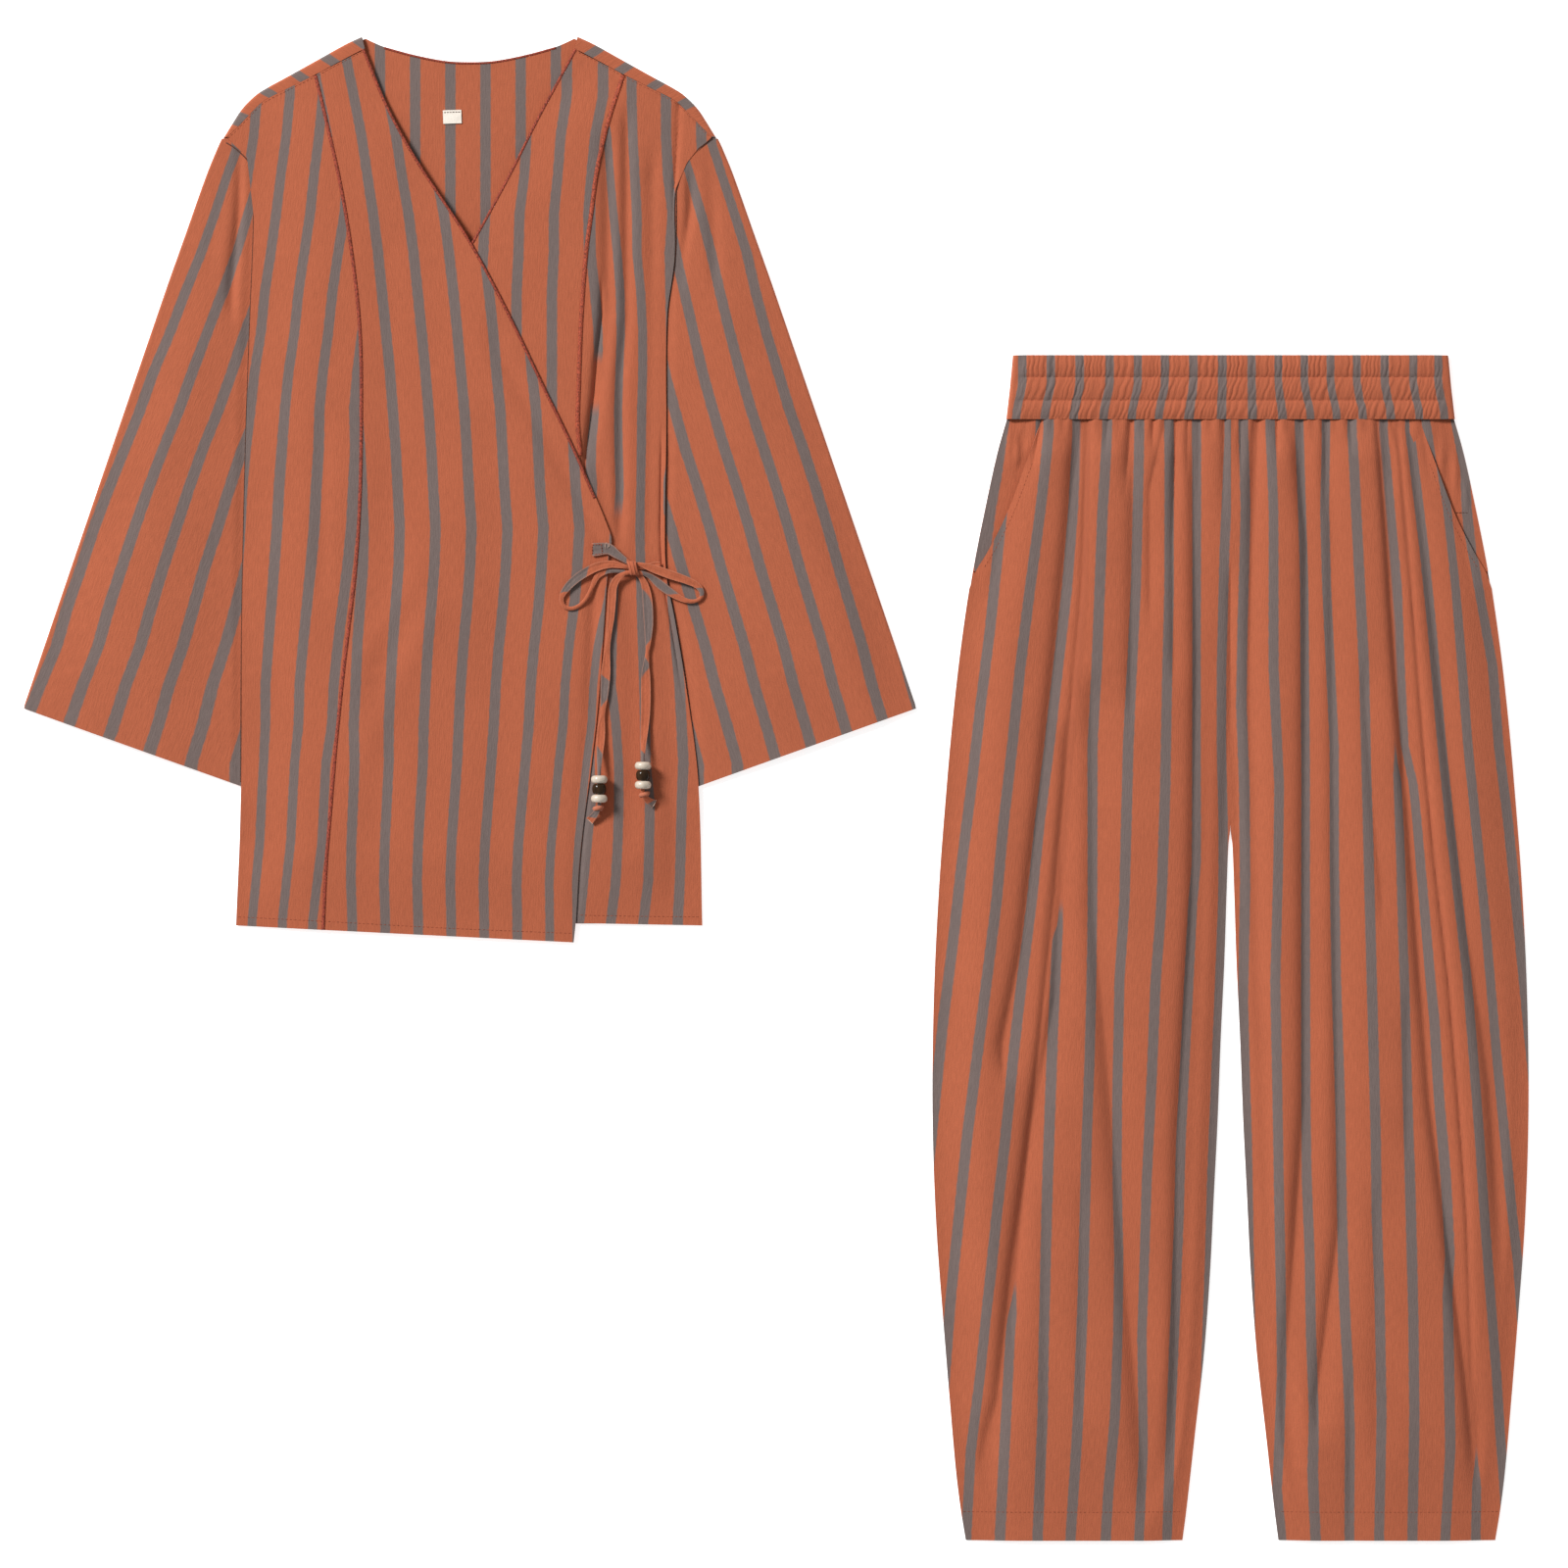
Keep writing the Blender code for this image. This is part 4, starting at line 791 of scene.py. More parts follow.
def label_material():
    """Narrow woven satin tape."""
    n = Nodes("woven_tape")
    at = n.place()
    settings = {"wave_type": "BANDS", "bands_direction": "X"}
    warp = n.add("ShaderNodeTexWave", settings, Vector=at, Scale=700.0, Distortion=1.0).outputs[1]
    cloud = n.soft(n.noise(at, 260.0, 3.0), 0.3, 0.7, 0.0, 1.0)
    pale = n.mix(cloud, tuple(0.93 * part for part in LABEL_TAPE), LABEL_TAPE)
    return n.finish(Base_Color=pale, Roughness=0.6, Normal=n.bump(warp, 0.25, 0.0002), Sheen_Weight=0.2)


def floor_material():
    """A plain pale floor that glows a little, so that it shows as white as the photograph's ground."""
    n = Nodes("pale_floor")
    cloud = n.soft(n.noise(n.place(), 1.5, 2.0), 0.2, 0.8, 0.0, 1.0)
    tone = n.mix(cloud, FLOOR_WHITE, tuple(part + 0.005 for part in FLOOR_WHITE))
    return n.finish(
        Base_Color=tone, Roughness=1.0, Specular_IOR_Level=0.0,
        Emission_Color=tone, Emission_Strength=FLOOR_GLOW,
    )


def garment_points(local, garment_at):
    """From x, down and height in a garment's frame to the shared frame, in metres."""
    local = np.asarray(local, float)
    x = garment_at[0] + local[..., 0]
    y = garment_at[1] - local[..., 1]
    return np.stack([x, y, local[..., 2]], axis=-1) * MM


def mesh_object(name, points, faces, material):
    """A smooth mesh from points in metres and lists of point numbers."""
    mesh = bpy.data.meshes.new(name)
    mesh.from_pydata(np.reshape(points, (-1, 3)).tolist(), [], faces)
    mesh.shade_smooth()
    mesh.materials.append(material)
    thing = bpy.data.objects.new(name, mesh)
    bpy.context.scene.collection.objects.link(thing)
    return thing


def add_uv(mesh, name, corners):
    layer = mesh.uv_layers.new(name=name)
    layer.data.foreach_set("uv", np.ascontiguousarray(corners, np.float32).reshape(-1))


def corner_stack(field, ring=False):
    """The four corners of each cell of a grid. A ring's last column joins its first."""
    if ring:
        field = np.concatenate([field, field[:, :1]], axis=1)
    return np.stack([field[:-1, :-1], field[1:, :-1], field[1:, 1:], field[:-1, 1:]], axis=2)


def surface(name, points, uv, material, keep=None, wall=WALL, ring=False, plain=None):
    """A grid of points as cloth of this thickness. Keep picks cells, and plain is 1 where no stripe shows."""
    if plain is None:
        plain = np.zeros(points.shape[:2])
    quads = corner_stack(np.arange(plain.size).reshape(plain.shape), ring)
    weave = corner_stack(uv, ring)
    masks = corner_stack(np.stack([plain, np.zeros_like(plain)], axis=-1), ring)
    if keep is not None:
        quads, weave, masks = quads[keep], weave[keep], masks[keep]
    thing = mesh_object(name, points, quads.reshape(-1, 4).tolist(), material)
    add_uv(thing.data, "weave", weave)
    add_uv(thing.data, "plain", masks)
    thickness = thing.modifiers.new("Thickness", "SOLIDIFY")
    thickness.thickness = wall * MM
    thickness.offset = 0
    made = thing.evaluated_get(bpy.context.evaluated_depsgraph_get())
    thing.data = bpy.data.meshes.new_from_object(made)
    thing.modifiers.clear()
    thing.data.set_sharp_from_angle(angle=math.radians(48))
    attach(thing, "root")
    return thing


def quad_area(points, keep=None):
    a = points[1:, 1:] - points[:-1, :-1]
    b = points[1:, :-1] - points[:-1, 1:]
    area = 0.5 * np.linalg.norm(np.cross(a, b), axis=-1)
    return float(area[keep].sum() if keep is not None else area.sum())


def declare_cloth(node, points, keep=None, ring=False):
    """Its cut is what the grid of points measures when it is unfolded."""
    measured = np.concatenate([points, points[:, :1]], axis=1) if ring else points
    wide = np.linalg.norm(np.diff(measured, axis=1), axis=-1).sum(axis=1).max()
    steps = np.linalg.norm(np.diff(points, axis=0), axis=-1)
    if keep is not None:
        cloth_beside = np.pad(keep, ((0, 0), (0, 1))) | np.pad(keep, ((0, 0), (1, 0)))
        steps = steps * cloth_beside
    long = steps.sum(axis=0).max()
    area = min(quad_area(measured, keep), wide * long)
    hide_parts(node)
    print(f"{node}: cut {wide * 1000:.0f} x {long * 1000:.0f} mm, {area * 1e4:.0f} square cm")


def weave_uv(phase, down):
    return np.stack([phase, down / STRIPE_PITCH], axis=-1)


def tube(name, path, radius, material, sides=6, flat=1.0):
    """A closed tube along points in metres, its height scaled by flat."""
    path = np.asarray(path, float)
    ahead = np.gradient(path, axis=0)
    ahead /= np.linalg.norm(ahead, axis=1)[:, None] + 1e-12
    beside = np.stack([-ahead[:, 1], ahead[:, 0], np.zeros(len(path))], axis=1)
    beside[np.linalg.norm(beside, axis=1) < 0.2] = (1, 0, 0)
    beside /= np.linalg.norm(beside, axis=1)[:, None]
    up = np.cross(ahead, beside)
    turn = np.linspace(0, 2 * math.pi, sides, endpoint=False)[None, :, None]
    rim = path[:, None] + radius * np.cos(turn) * beside[:, None] + flat * radius * np.sin(turn) * up[:, None]
    count = len(path) * sides
    faces = corner_stack(np.arange(count).reshape(-1, sides), ring=True).reshape(-1, 4)[:, ::-1].tolist()
    faces += [list(range(sides))[::-1], list(range(count - sides, count))]
    thing = mesh_object(name, rim, faces, material)
    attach(thing, "root")
    return thing


def stitch_row(name, path, stitch, material):
    """Stitches along points in metres, each a short thread that dips into the cloth at its ends."""
    length, gap, radius = (size * MM for size in stitch)
    path = np.asarray(path, float)
    total = np.linalg.norm(np.diff(path, axis=0), axis=1).sum()
    stations = np.array([0.0, 0.25, 0.75, 1.0])
    swell = np.array([0.35, 1.0, 1.0, 0.35])
    sides = 5
    turn = np.linspace(0, 2 * math.pi, sides, endpoint=False)
    points = []
    faces = []
    for i in range(max(int(total / (length + gap)), 1)):
        line = walk(path, i * (length + gap) / total + stations * length / total)
        ahead = line[-1] - line[0]
        ahead /= np.linalg.norm(ahead)
        beside = np.array([-ahead[1], ahead[0], 0])
        beside /= np.linalg.norm(beside)
        up = np.cross(ahead, beside)
        line = line + np.outer((swell - 1) * radius * 0.9, up)
        base = len(points)
        for centre, size in zip(line, swell):
            for angle in turn:
                points.append(centre + radius * size * (math.cos(angle) * beside + math.sin(angle) * up))
        for ring in range(base, base + 3 * sides, sides):
            for side in range(sides):
                a = ring + side
                b = ring + (side + 1) % sides
                faces.append([a, b, b + sides, a + sides])
        faces.append([base + side for side in range(sides)][::-1])
        faces.append([base + 3 * sides + side for side in range(sides)])
    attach(mesh_object(name, points, faces, material), "root")


def inside_body(x, down):
    """Distance in from the nearer side seam."""
    return np.minimum(x - across(SIDE_RIGHT, down), across(SIDE_LEFT, down) - x)


def front_height(x, down):
    side = FRONT_LAYER - (FRONT_LAYER - SLEEVE_LOWER) * ease(down, 620, 665)
    middle = FRONT_LAYER + JACKET_RISE * ease(down, 14, 90) - (JACKET_RISE + 1.6) * ease(down, 660, 735)
    return side + (middle - side) * ease(inside_body(x, down), 0, 60)


def right_front_height(x, down):
    return front_height(x, down) + LAYER * ease(x, -185, -125) * ease(down, 30, 110)


def neck_sink(beside, down):
    return 1.8 * (1 - ease(beside, 0, 40)) * ease(down, 12, 60) * (1 - ease(down, 110, 158))


def front_life(x, down):
    """Folds fade towards the garment's edges, so that the layers keep their order."""
    return ease(inside_body(x, down), 2, 30) * ease(down, 20, 80) * (1 - ease(down, 700, 735))


def right_front_place(x, down):
    height = right_front_height(x, down) - neck_sink(across(WRAP_ABOVE_BOW, down) - x, down)
    moved = 0.85 * waviness(x, down, 90) - 1.2 * fold_depth(FOLDS_RIGHT_FRONT, x, down)
    edge = ease(across(WRAP_EDGE, down) - x, 1, 16)
    return height + moved * front_life(x, down) * (0.3 + 0.7 * edge)


def left_front_place(x, down):
    height = front_height(x, down) - neck_sink(x - across(UNDER_EDGE[:6], down), down)
    moved = 0.25 * waviness(x, down, 70) - fold_depth(FOLDS_LEFT_FRONT, x, down)
    covered = ease(x - across(WRAP_EDGE, down), -20, 6)
    inside = across(SIDE_LEFT, down) - x
    strip = 1.7 * np.exp(-((np.abs(inside - 3.9) / 0.95) ** 1.3)) - 1.1 * np.exp(-((inside / 2.2) ** 2))
    strip = strip * ease(down, 312, 352) * (1 - ease(down, 480, 560))
    upper = 1.3 * fold_depth(CREASES_LEFT_SHOULDER, x, down, 0.0, 1.3) * ease(inside, 0.5, 2.5)
    place = height + moved * front_life(x, down) * covered - strip - upper
    under = right_front_place(x, down) - LAYER - 0.1 + 5 * ease(x - across(WRAP_EDGE, down), 0, 14)
    return np.minimum(place, under)


def cover_height(x, down):
    return right_front_height(x, down) + WALL / 2


def make_back(cloth):
    """Back panel, flat on the floor, that rolls over each shoulder to a seam on the front."""
    roll = (FRONT_LAYER - FLOOR_LAYER) / 2
    shoulder_steps = 44
    neck_steps = 60
    roll_rows = 9
    down_rows = 110
    columns = 2 * shoulder_steps + neck_steps
    shoulder = smooth(mirrored(SHOULDER[::-1]))
    seam_line = smooth(shifted(mirrored(SHOULDER_SEAM[::-1]), ddown=-SEAM_GAP / 2))
    steps = np.linspace(0, 1, shoulder_steps + 1)
    outline = walk(shoulder, steps)
    seam = walk(seam_line, steps)
    out = (outline - seam) / np.linalg.norm(outline - seam, axis=1)[:, None]
    shoulder_top = outline - out * (roll + WALL / 2)
    neck = walk(smooth(NECK_BACK), np.linspace(0, 1, neck_steps + 1))
    neck[0] = shoulder_top[-1]
    flip = np.array([-1, 1])
    neck[-1] = shoulder_top[-1] * flip
    top = np.concatenate([shoulder_top, neck[1:-1], (shoulder_top * flip)[::-1]])

    def both_sides(half):
        between = np.repeat(half[-1:], neck_steps - 1, axis=0)
        return np.concatenate([half, between, (half * np.array([-1, 1, 1]))[::-1]])

    rows = []
    for row in range(roll_rows, 0, -1):
        if row == roll_rows:
            half = np.column_stack([seam, np.full(len(seam), FRONT_LAYER)])
        else:
            turn = math.pi * row / (roll_rows - 1)
            at = outline - out * (roll + WALL / 2) + out * roll * math.sin(turn)
            half = np.column_stack([at, np.full(len(at), FLOOR_LAYER + roll * (1 - math.cos(turn)))])
        rows.append(both_sides(half))
    left = (tuple(top[0]), *inset(ARMHOLE_RIGHT[1:4], 1, 1.2), *shifted(SIDE_RIGHT[1:-1], dx=0.6))
    left = (*left, (SIDE_RIGHT[-1][0] + 0.6, BACK_HEM))
    right = (tuple(top[-1]), *inset(ARMHOLE_LEFT[1:4], -1, 1.9), *shifted(SIDE_LEFT[2:-1], dx=-0.6))
    right = (*right, (SIDE_LEFT[-1][0] - 0.6, BACK_HEM))
    u = np.linspace(0, 1, columns + 1)
    for share in np.linspace(0, 1, down_rows + 1) ** 1.3:
        ends = np.stack([walk(left, share), walk(right, share)])
        beside = (1 - u)[:, None] * ends[0] + u[:, None] * ends[1]
        upper = (1 - u)[:, None] * top[0] + u[:, None] * top[-1]
        at = (1 - share) * (top - upper) + beside
        rows.append(np.column_stack([at, np.full(len(at), FLOOR_LAYER)]))
    local = np.array(rows)
    x = local[..., 0]
    down = local[..., 1]
    phase = (x - BACK_STRIPES[0]) / BACK_STRIPES[1]
    inwards = np.linalg.norm(local[..., :2] - local[roll_rows // 2, :, :2], axis=-1)
    leaning = 0.94 * (inwards - 5) * np.sign(x)
    on_right = read(STRIPES_SHOULDER_RIGHT, x + leaning)
    rolled = np.where(x < 0, on_right, read(STRIPES_SHOULDER_LEFT, x + leaning))
    phase[:roll_rows] = rolled[:roll_rows]
    keep = np.ones((len(rows) - 1, columns), bool)
    keep[:roll_rows, shoulder_steps : columns - shoulder_steps] = False
    points = garment_points(local, JACKET_AT)
    thing = surface("back_panel", points, weave_uv(phase, down), cloth, keep=keep)
    declare_cloth("jacket_back", points, keep=keep)


def make_fronts(cloth):
    """Each front is a centre and a side panel that meet at the princess seam."""
    half = SEAM_GAP / 2 + SEAM_STEP
    seam_right = [tuple(p) for p in smooth(shifted(mirrored(SHOULDER_SEAM[::-1]), ddown=0.4 * SEAM_GAP))]
    seam_left = [tuple(p) for p in smooth(shifted(SHOULDER_SEAM, ddown=0.4 * SEAM_GAP))]
    hem_right = ((-190.8, 725), PRINCESS_RIGHT[-1], WRAP_EDGE[-1])
    hem_left = (UNDER_EDGE[-1], PRINCESS_LEFT[-1], SIDE_LEFT[-1])

    def panel(name, node, top, bottom, left, right, place, stripes, cells, swallowed=None):
        u, v = grid(*cells)
        at = patch(top, bottom, left, right, u, v)
        x = at[..., 0]
        down = at[..., 1]
        local = np.stack([x, down, place(x, down)], axis=-1)
        points = garment_points(local, JACKET_AT)
        plain = swallowed(x, down) if swallowed else None
        thing = surface(name, points, weave_uv(stripes(x, down), down), cloth, plain=plain)
        declare_cloth(node, points)

    def under_folds(x, down):
        """1 where two stripes dip under a fold beside the bow."""
        upper = ease(down, 256, 268) * (1 - ease(down, 296, 310)) * (1 - ease(np.abs(x - 104), 4.5, 7))
        lower = ease(down, 376, 396) * (1 - ease(down, 437, 452)) * (1 - ease(np.abs(x - 120), 5, 8))
        return np.maximum(upper, lower)

    def steady(table):
        return lambda x, down: stripe_phase(table, x, down)

    def crowded_stripes(x, down):
        """A fold draws the last stripe towards the one before it, below the bow."""
        phase = stripe_phase(STRIPES_FRONT_RIGHT, x, down)
        return phase + 0.27 * np.maximum(phase - 5, 0) * ease(down, 440, 510)

    armhole_right = (seam_right[0], (-191.8, 89.2), *inset(ARMHOLE_RIGHT[1:3], 1))
    panel(
        "side_panel_right", "jacket_side_right",
        (*[p for p in seam_right if p[0] < -126.1], (PRINCESS_RIGHT[0][0] - half, PRINCESS_RIGHT[0][1])),
        (hem_right[0], (hem_right[1][0] - half, hem_right[1][1])),
        (*armhole_right, *smooth(SIDE_RIGHT)[8:]),
        smooth(shifted(PRINCESS_RIGHT, dx=-half)),
        right_front_place, steady(STRIPES_SIDE_RIGHT), (46, 190),
    )
    panel(
        "centre_panel_right", "jacket_front_right",
        ((PRINCESS_RIGHT[0][0] + half, PRINCESS_RIGHT[0][1]), *[p for p in seam_right if p[0] > -125]),
        ((hem_right[1][0] + half, hem_right[1][1]), hem_right[2]),
        smooth(shifted(PRINCESS_RIGHT, dx=half)),
        smooth(WRAP_EDGE),
        right_front_place, crowded_stripes, (110, 190),
    )
    armhole_left = (seam_left[-1], (193, 86.4), *inset(ARMHOLE_LEFT[1:3], -1))
    panel(
        "side_panel_left", "jacket_side_left",
        ((PRINCESS_LEFT[0][0] + half, PRINCESS_LEFT[0][1]), *[p for p in seam_left if p[0] > 126.1]),
        ((hem_left[1][0] + half, hem_left[1][1]), hem_left[2]),
        smooth(shifted(PRINCESS_LEFT, dx=half)),
        (*armhole_left, *smooth(SIDE_LEFT)[8:]),
        left_front_place, lambda x, down: line_phase(LINES_SIDE_LEFT, x, down), (82, 190),
        under_folds,
    )
    panel(
        "centre_panel_left", "jacket_front_left",
        (*[p for p in seam_left if p[0] < 125], (PRINCESS_LEFT[0][0] - half, PRINCESS_LEFT[0][1])),
        (hem_left[0], (hem_left[1][0] - half, hem_left[1][1])),
        smooth(UNDER_EDGE),
        smooth(shifted(PRINCESS_LEFT, dx=-half)),
        left_front_place, steady(STRIPES_FRONT_LEFT), (60, 130),
    )


def make_sleeve(name, side, armhole, body_side, folds, stripes, cloth):
    """One folded sheet: under layer, outer fold and upper layer, tucked in between the body's layers."""
    fold = smooth(tuple((side * x, down) for x, down in SLEEVE_FOLD))
    roll = (SLEEVE_UPPER - FLOOR_LAYER) / 2
    head = (side * 197.5, 82.4)
    armhole = (armhole[0], head, *shifted(armhole[1:], dx=-side * 1.6, ddown=-2.2))
    inner_top = armhole[-1]
    beside = [p for p in body_side if inner_top[1] + 8 < p[1] < CUFF_INNER - 4]
    tucked = shifted(beside, dx=-side * SLEEVE_TUCK)
    inner_end = (float(across(body_side, CUFF_INNER)) - side * SLEEVE_TUCK, CUFF_INNER + 1.8)
    inner = smooth((inner_top, *tucked, inner_end))
    cuff = (tuple(fold[-1]), inner_end)
    upper_columns = 84
    tuck_columns = 12
    lower_columns = 18
    fold_columns = 7
    rows = 124
    v = np.linspace(0, 1, rows + 1)[:, None]
    zero = np.zeros_like(v)
    edge = patch(armhole, cuff, fold, inner, zero, v)[:, 0]
    near = patch(armhole, cuff, fold, inner, zero + 0.05, v)[:, 0]
    inside = patch(armhole, cuff, fold, inner, zero + 1, v)[:, 0]
    out = (edge - near) / np.linalg.norm(edge - near, axis=1)[:, None]
    width = np.abs(edge[:, 0] - inside[:, 0])
    band = (1 - (SLEEVE_TUCK + 9) / width)[:, None]

    def layer(count, lower):
        share = np.concatenate(
            [band * np.linspace(0, 1, count + 1)[None, :],
             band + (1 - band) * np.linspace(0, 1, tuck_columns + 1)[None, 1:]],
            axis=1,
        )
        at = patch(armhole, cuff, fold, inner, share, np.broadcast_to(v, share.shape))
        at = at - out[:, None] * ((roll + WALL / 2) * (1 - ease(share, 0, 0.5)))[..., None]
        inwards = np.abs(at[..., 0] - inside[:, None, 0])
        outwards = np.linalg.norm(at - edge[:, None], axis=-1)
        if lower:
            over_body = 1 - ease(inwards, SLEEVE_TUCK + 1.5, SLEEVE_TUCK + 7.5)
            height = FLOOR_LAYER + LAYER * over_body
        else:
            swell = 0.3 * ease(inwards, SLEEVE_TUCK + 1, SLEEVE_TUCK + 9)
            swell = swell + 0.7 * ease(inwards, SLEEVE_TUCK + 4, 90)
            swell = swell * ease(outwards, 0, 45) * (1 - 0.3 * ease(v, 0.85, 1))
            height = SLEEVE_UPPER + SLEEVE_RISE * swell
            life = ease(inwards, SLEEVE_TUCK + 1, 26) * ease(outwards, 3, 40)
            moved = 0.6 * waviness(at[..., 0], at[..., 1], 110) - fold_depth(folds, at[..., 0], at[..., 1])
            height = height + moved * life
        return np.concatenate([at, height[..., None]], axis=-1)

    upper = layer(upper_columns, False)
    lower = layer(lower_columns, True)[:, ::-1]
    bend = []
    for step in range(1, fold_columns):
        turn = math.pi * step / fold_columns
        at = edge - out * (roll + WALL / 2) + out * roll * math.sin(turn)
        bend.append(np.column_stack([at, np.full(len(at), FLOOR_LAYER + roll * (1 - math.cos(turn)))]))
    local = np.concatenate([lower, np.stack(bend, axis=1), upper], axis=1)
    x = local[..., 0]
    down = local[..., 1]
    phase = stripe_phase(stripes, x, down)
    edge_phase = stripe_phase(stripes, edge[:, 0], edge[:, 1])[:, None]
    under = lower.shape[1]
    phase[:, :under] = 2 * edge_phase - phase[:, :under]
    points = garment_points(local, JACKET_AT)
    thing = surface(f"sleeve_{name}", points, weave_uv(phase, down), cloth)
    declare_cloth(f"jacket_sleeve_{name}", points)


def leg_height(side, folds, x, down):
    outer = read(LEG_OUTER, down)
    inner = read(LEG_INNER, down)
    out = outer - side * x
    inwards = side * x - inner
    closed = 0.62 * (1 - ease(down, 170, CROTCH))
    seam_rise = closed + (1 - closed) * ease(inwards, 0, 34)
    rise = LEG_RISE * ease(out, 0, 46) * seam_rise * (1 - 0.55 * ease(down, 860, 966))
    band = WAIST_LAYER - SLEEVE_LOWER
    near_band = 1 - ease(down, WAIST_SEAM, WAIST_SEAM + 34)
    rise = rise + (band * ease(out, 0, 30) - rise) * near_band
    gathers = 0.5 * np.sin(x / 1.7 + 1.5 * np.sin(x / 11)) * (1 - ease(down, WAIST_SEAM, WAIST_SEAM + 20))
    depth = 1.95 * fold_depth(folds, x, down, 0.45, 1.3) * ease(rise, 1.5, 6) * (1 - 0.5 * near_band)
    depth = depth + fold_depth(CREASES_RIGHT_LEG if side < 0 else CREASES_LEFT_LEG, x, down, 0.0, 1.2)
    depth = depth + (pleat_depth(PLEATS, x, down) + gathers) * ease(out, 6, 30)
    depth = depth + 0.5 * waviness(x, down, 120) * ease(rise, 3, 8) * (1 - near_band)
    depth = 0.85 * rise * np.tanh(np.maximum(depth, -1) / (0.85 * np.maximum(rise, 0.2)))
    mouth = LAYER * (1 - ease(down, POCKET_END, POCKET_END + 30))
    return SLEEVE_LOWER + rise - depth + mouth * (1 - ease(rise, 1.0, 3.0))


def leg_surface(name, side, at, height, cloth):
    """A leg panel in its striped cloth, and its points."""
    lines = LINES_RIGHT_LEG if side < 0 else LINES_LEFT_LEG
    x = at[..., 0]
    down = at[..., 1]
    points = garment_points(np.concatenate([at, height[..., None]], axis=-1), TROUSERS_AT)
    uv = weave_uv(line_phase(lines, x, down), down)
    return surface(name, points, uv, cloth, plain=line_plain(lines, x, down)), points


def make_trousers(cloth):
    waist = WAIST_SEAM + SEAM_STEP
    for name, side, folds in LEGS:
        outer = [(half, down) for down, half in LEG_OUTER if down > WAIST_SEAM]
        outer = smooth(((183.0 + SEAM_STEP, waist), *outer)) * (side, 1)
        inner = [(half, down) for down, half in LEG_INNER[2:]]
        inner = smooth(((SEAM_STEP, waist), (SEAM_STEP, CROTCH), *inner)) * (side, 1)
        mouth = tuple((side * x, max(down, waist)) for x, down in POCKET_MOUTH)
        below = [tuple(p) for p in outer if p[1] > POCKET_END + 6]
        front_outer = (*smooth(mouth), *below)

        def leg(edge, cells, inner=inner):
            u, v = grid(*cells)
            return u, patch((edge[0], inner[0]), (edge[-1], inner[-1]), edge, inner, u, v)

        u, at = leg(front_outer, (164, 216))
        height = leg_height(side, folds, at[..., 0], at[..., 1])
        thing, points = leg_surface(f"leg_front_{name}", side, at, height, cloth)
        declare_cloth(f"trousers_front_{name}", points)

        u, at = leg(outer, (40, 90))
        at = at - np.stack([side * 0.6 * (1 - u), np.zeros_like(u)], axis=-1)
        thing, points = leg_surface(f"leg_back_{name}", side, at, np.full(u.shape, FLOOR_LAYER), cloth)
        declare_cloth(f"trousers_back_{name}", points)

        side_edge = part_of([tuple(p) for p in outer], waist, POCKET_END)
        tucked = tuple((x - side * FACING_TUCK, down) for x, down in mouth)
        u, v = grid(26, 50)
        at = patch((side_edge[0], tucked[0]), (side_edge[-1], tucked[-1]), side_edge, tucked, u, v)
        out = read(LEG_OUTER, at[..., 1]) - side * at[..., 0]
        lift = 2.2 * (1 - ease(at[..., 1], waist, 100)) * ease(out, 2, 24)
        height = SLEEVE_LOWER + lift * ease(leg_height(side, (), at[..., 0], at[..., 1]), 2.4, 6)
        hollows = dents(DENTS_FACING_RIGHT if side < 0 else DENTS_FACING_LEFT, at[..., 0], at[..., 1])
        height = np.maximum(height - hollows * ease(out, 1, 6), SLEEVE_LOWER - 0.2)
        at = at - np.array([side * 0.6, 0])
        local = np.concatenate([at, height[..., None]], axis=-1)
        points = garment_points(local, TROUSERS_AT)
        stripes = STRIPES_FACING_RIGHT if side < 0 else STRIPES_FACING_LEFT
        uv = weave_uv(stripe_phase(stripes, at[..., 0], at[..., 1]), at[..., 1])
        thing = surface(f"pocket_lining_{name}", points, uv, cloth)
        declare_cloth(f"pocket_facing_{name}", points)


def band_height(x, down, half):
    """Elastic gathers bulge between the rows of stitching, and pull the cloth into small slanted ridges."""
    low = np.array(BAND_CHANNELS)[np.clip(np.searchsorted(BAND_CHANNELS, down, side="right") - 1, 0, 2)]
    high = np.array(BAND_CHANNELS)[np.clip(np.searchsorted(BAND_CHANNELS, down, side="right"), 1, 3)]
    share = np.clip((down - low) / (high - low), 0, 1)
    bulge = np.sin(math.pi * share)
    channel = low / 17.0
    lean = np.where(low > 1, 0.35, 0.08) * (share - 0.5) * (high - low)
    at = x + lean + 0.5 * np.sin(down / 1.9 + x / 7.0)
    ridges = np.abs(np.sin(at / 1.35 + 2.6 * np.sin(at / 9.1 + channel) + channel * 2.1)) * 2 - 1
    ridges = ridges + 0.7 * (np.abs(np.sin(at / 2.6 + 3.1 * np.sin(at / 23.0) + channel * 4.7)) * 2 - 1)
    ridges = ridges + 0.5 * np.sin(at / 0.7 + 2.0 * np.sin(at / 5.3 + channel))
    pulled = 0.25 * ridges * (0.6 + 0.4 * np.sqrt(np.clip(bulge, 0, 1)))
    sides = ease(half - np.abs(x), 0, 10)
    stitched = np.exp(-((np.minimum(down - low, high - down) / 0.9) ** 2))
    stitched = stitched * (down > 2) * (down < WAIST_SEAM - 0.5)
    return WAIST_LAYER + (1.4 * bulge + pulled - 0.7 * stitched) * sides


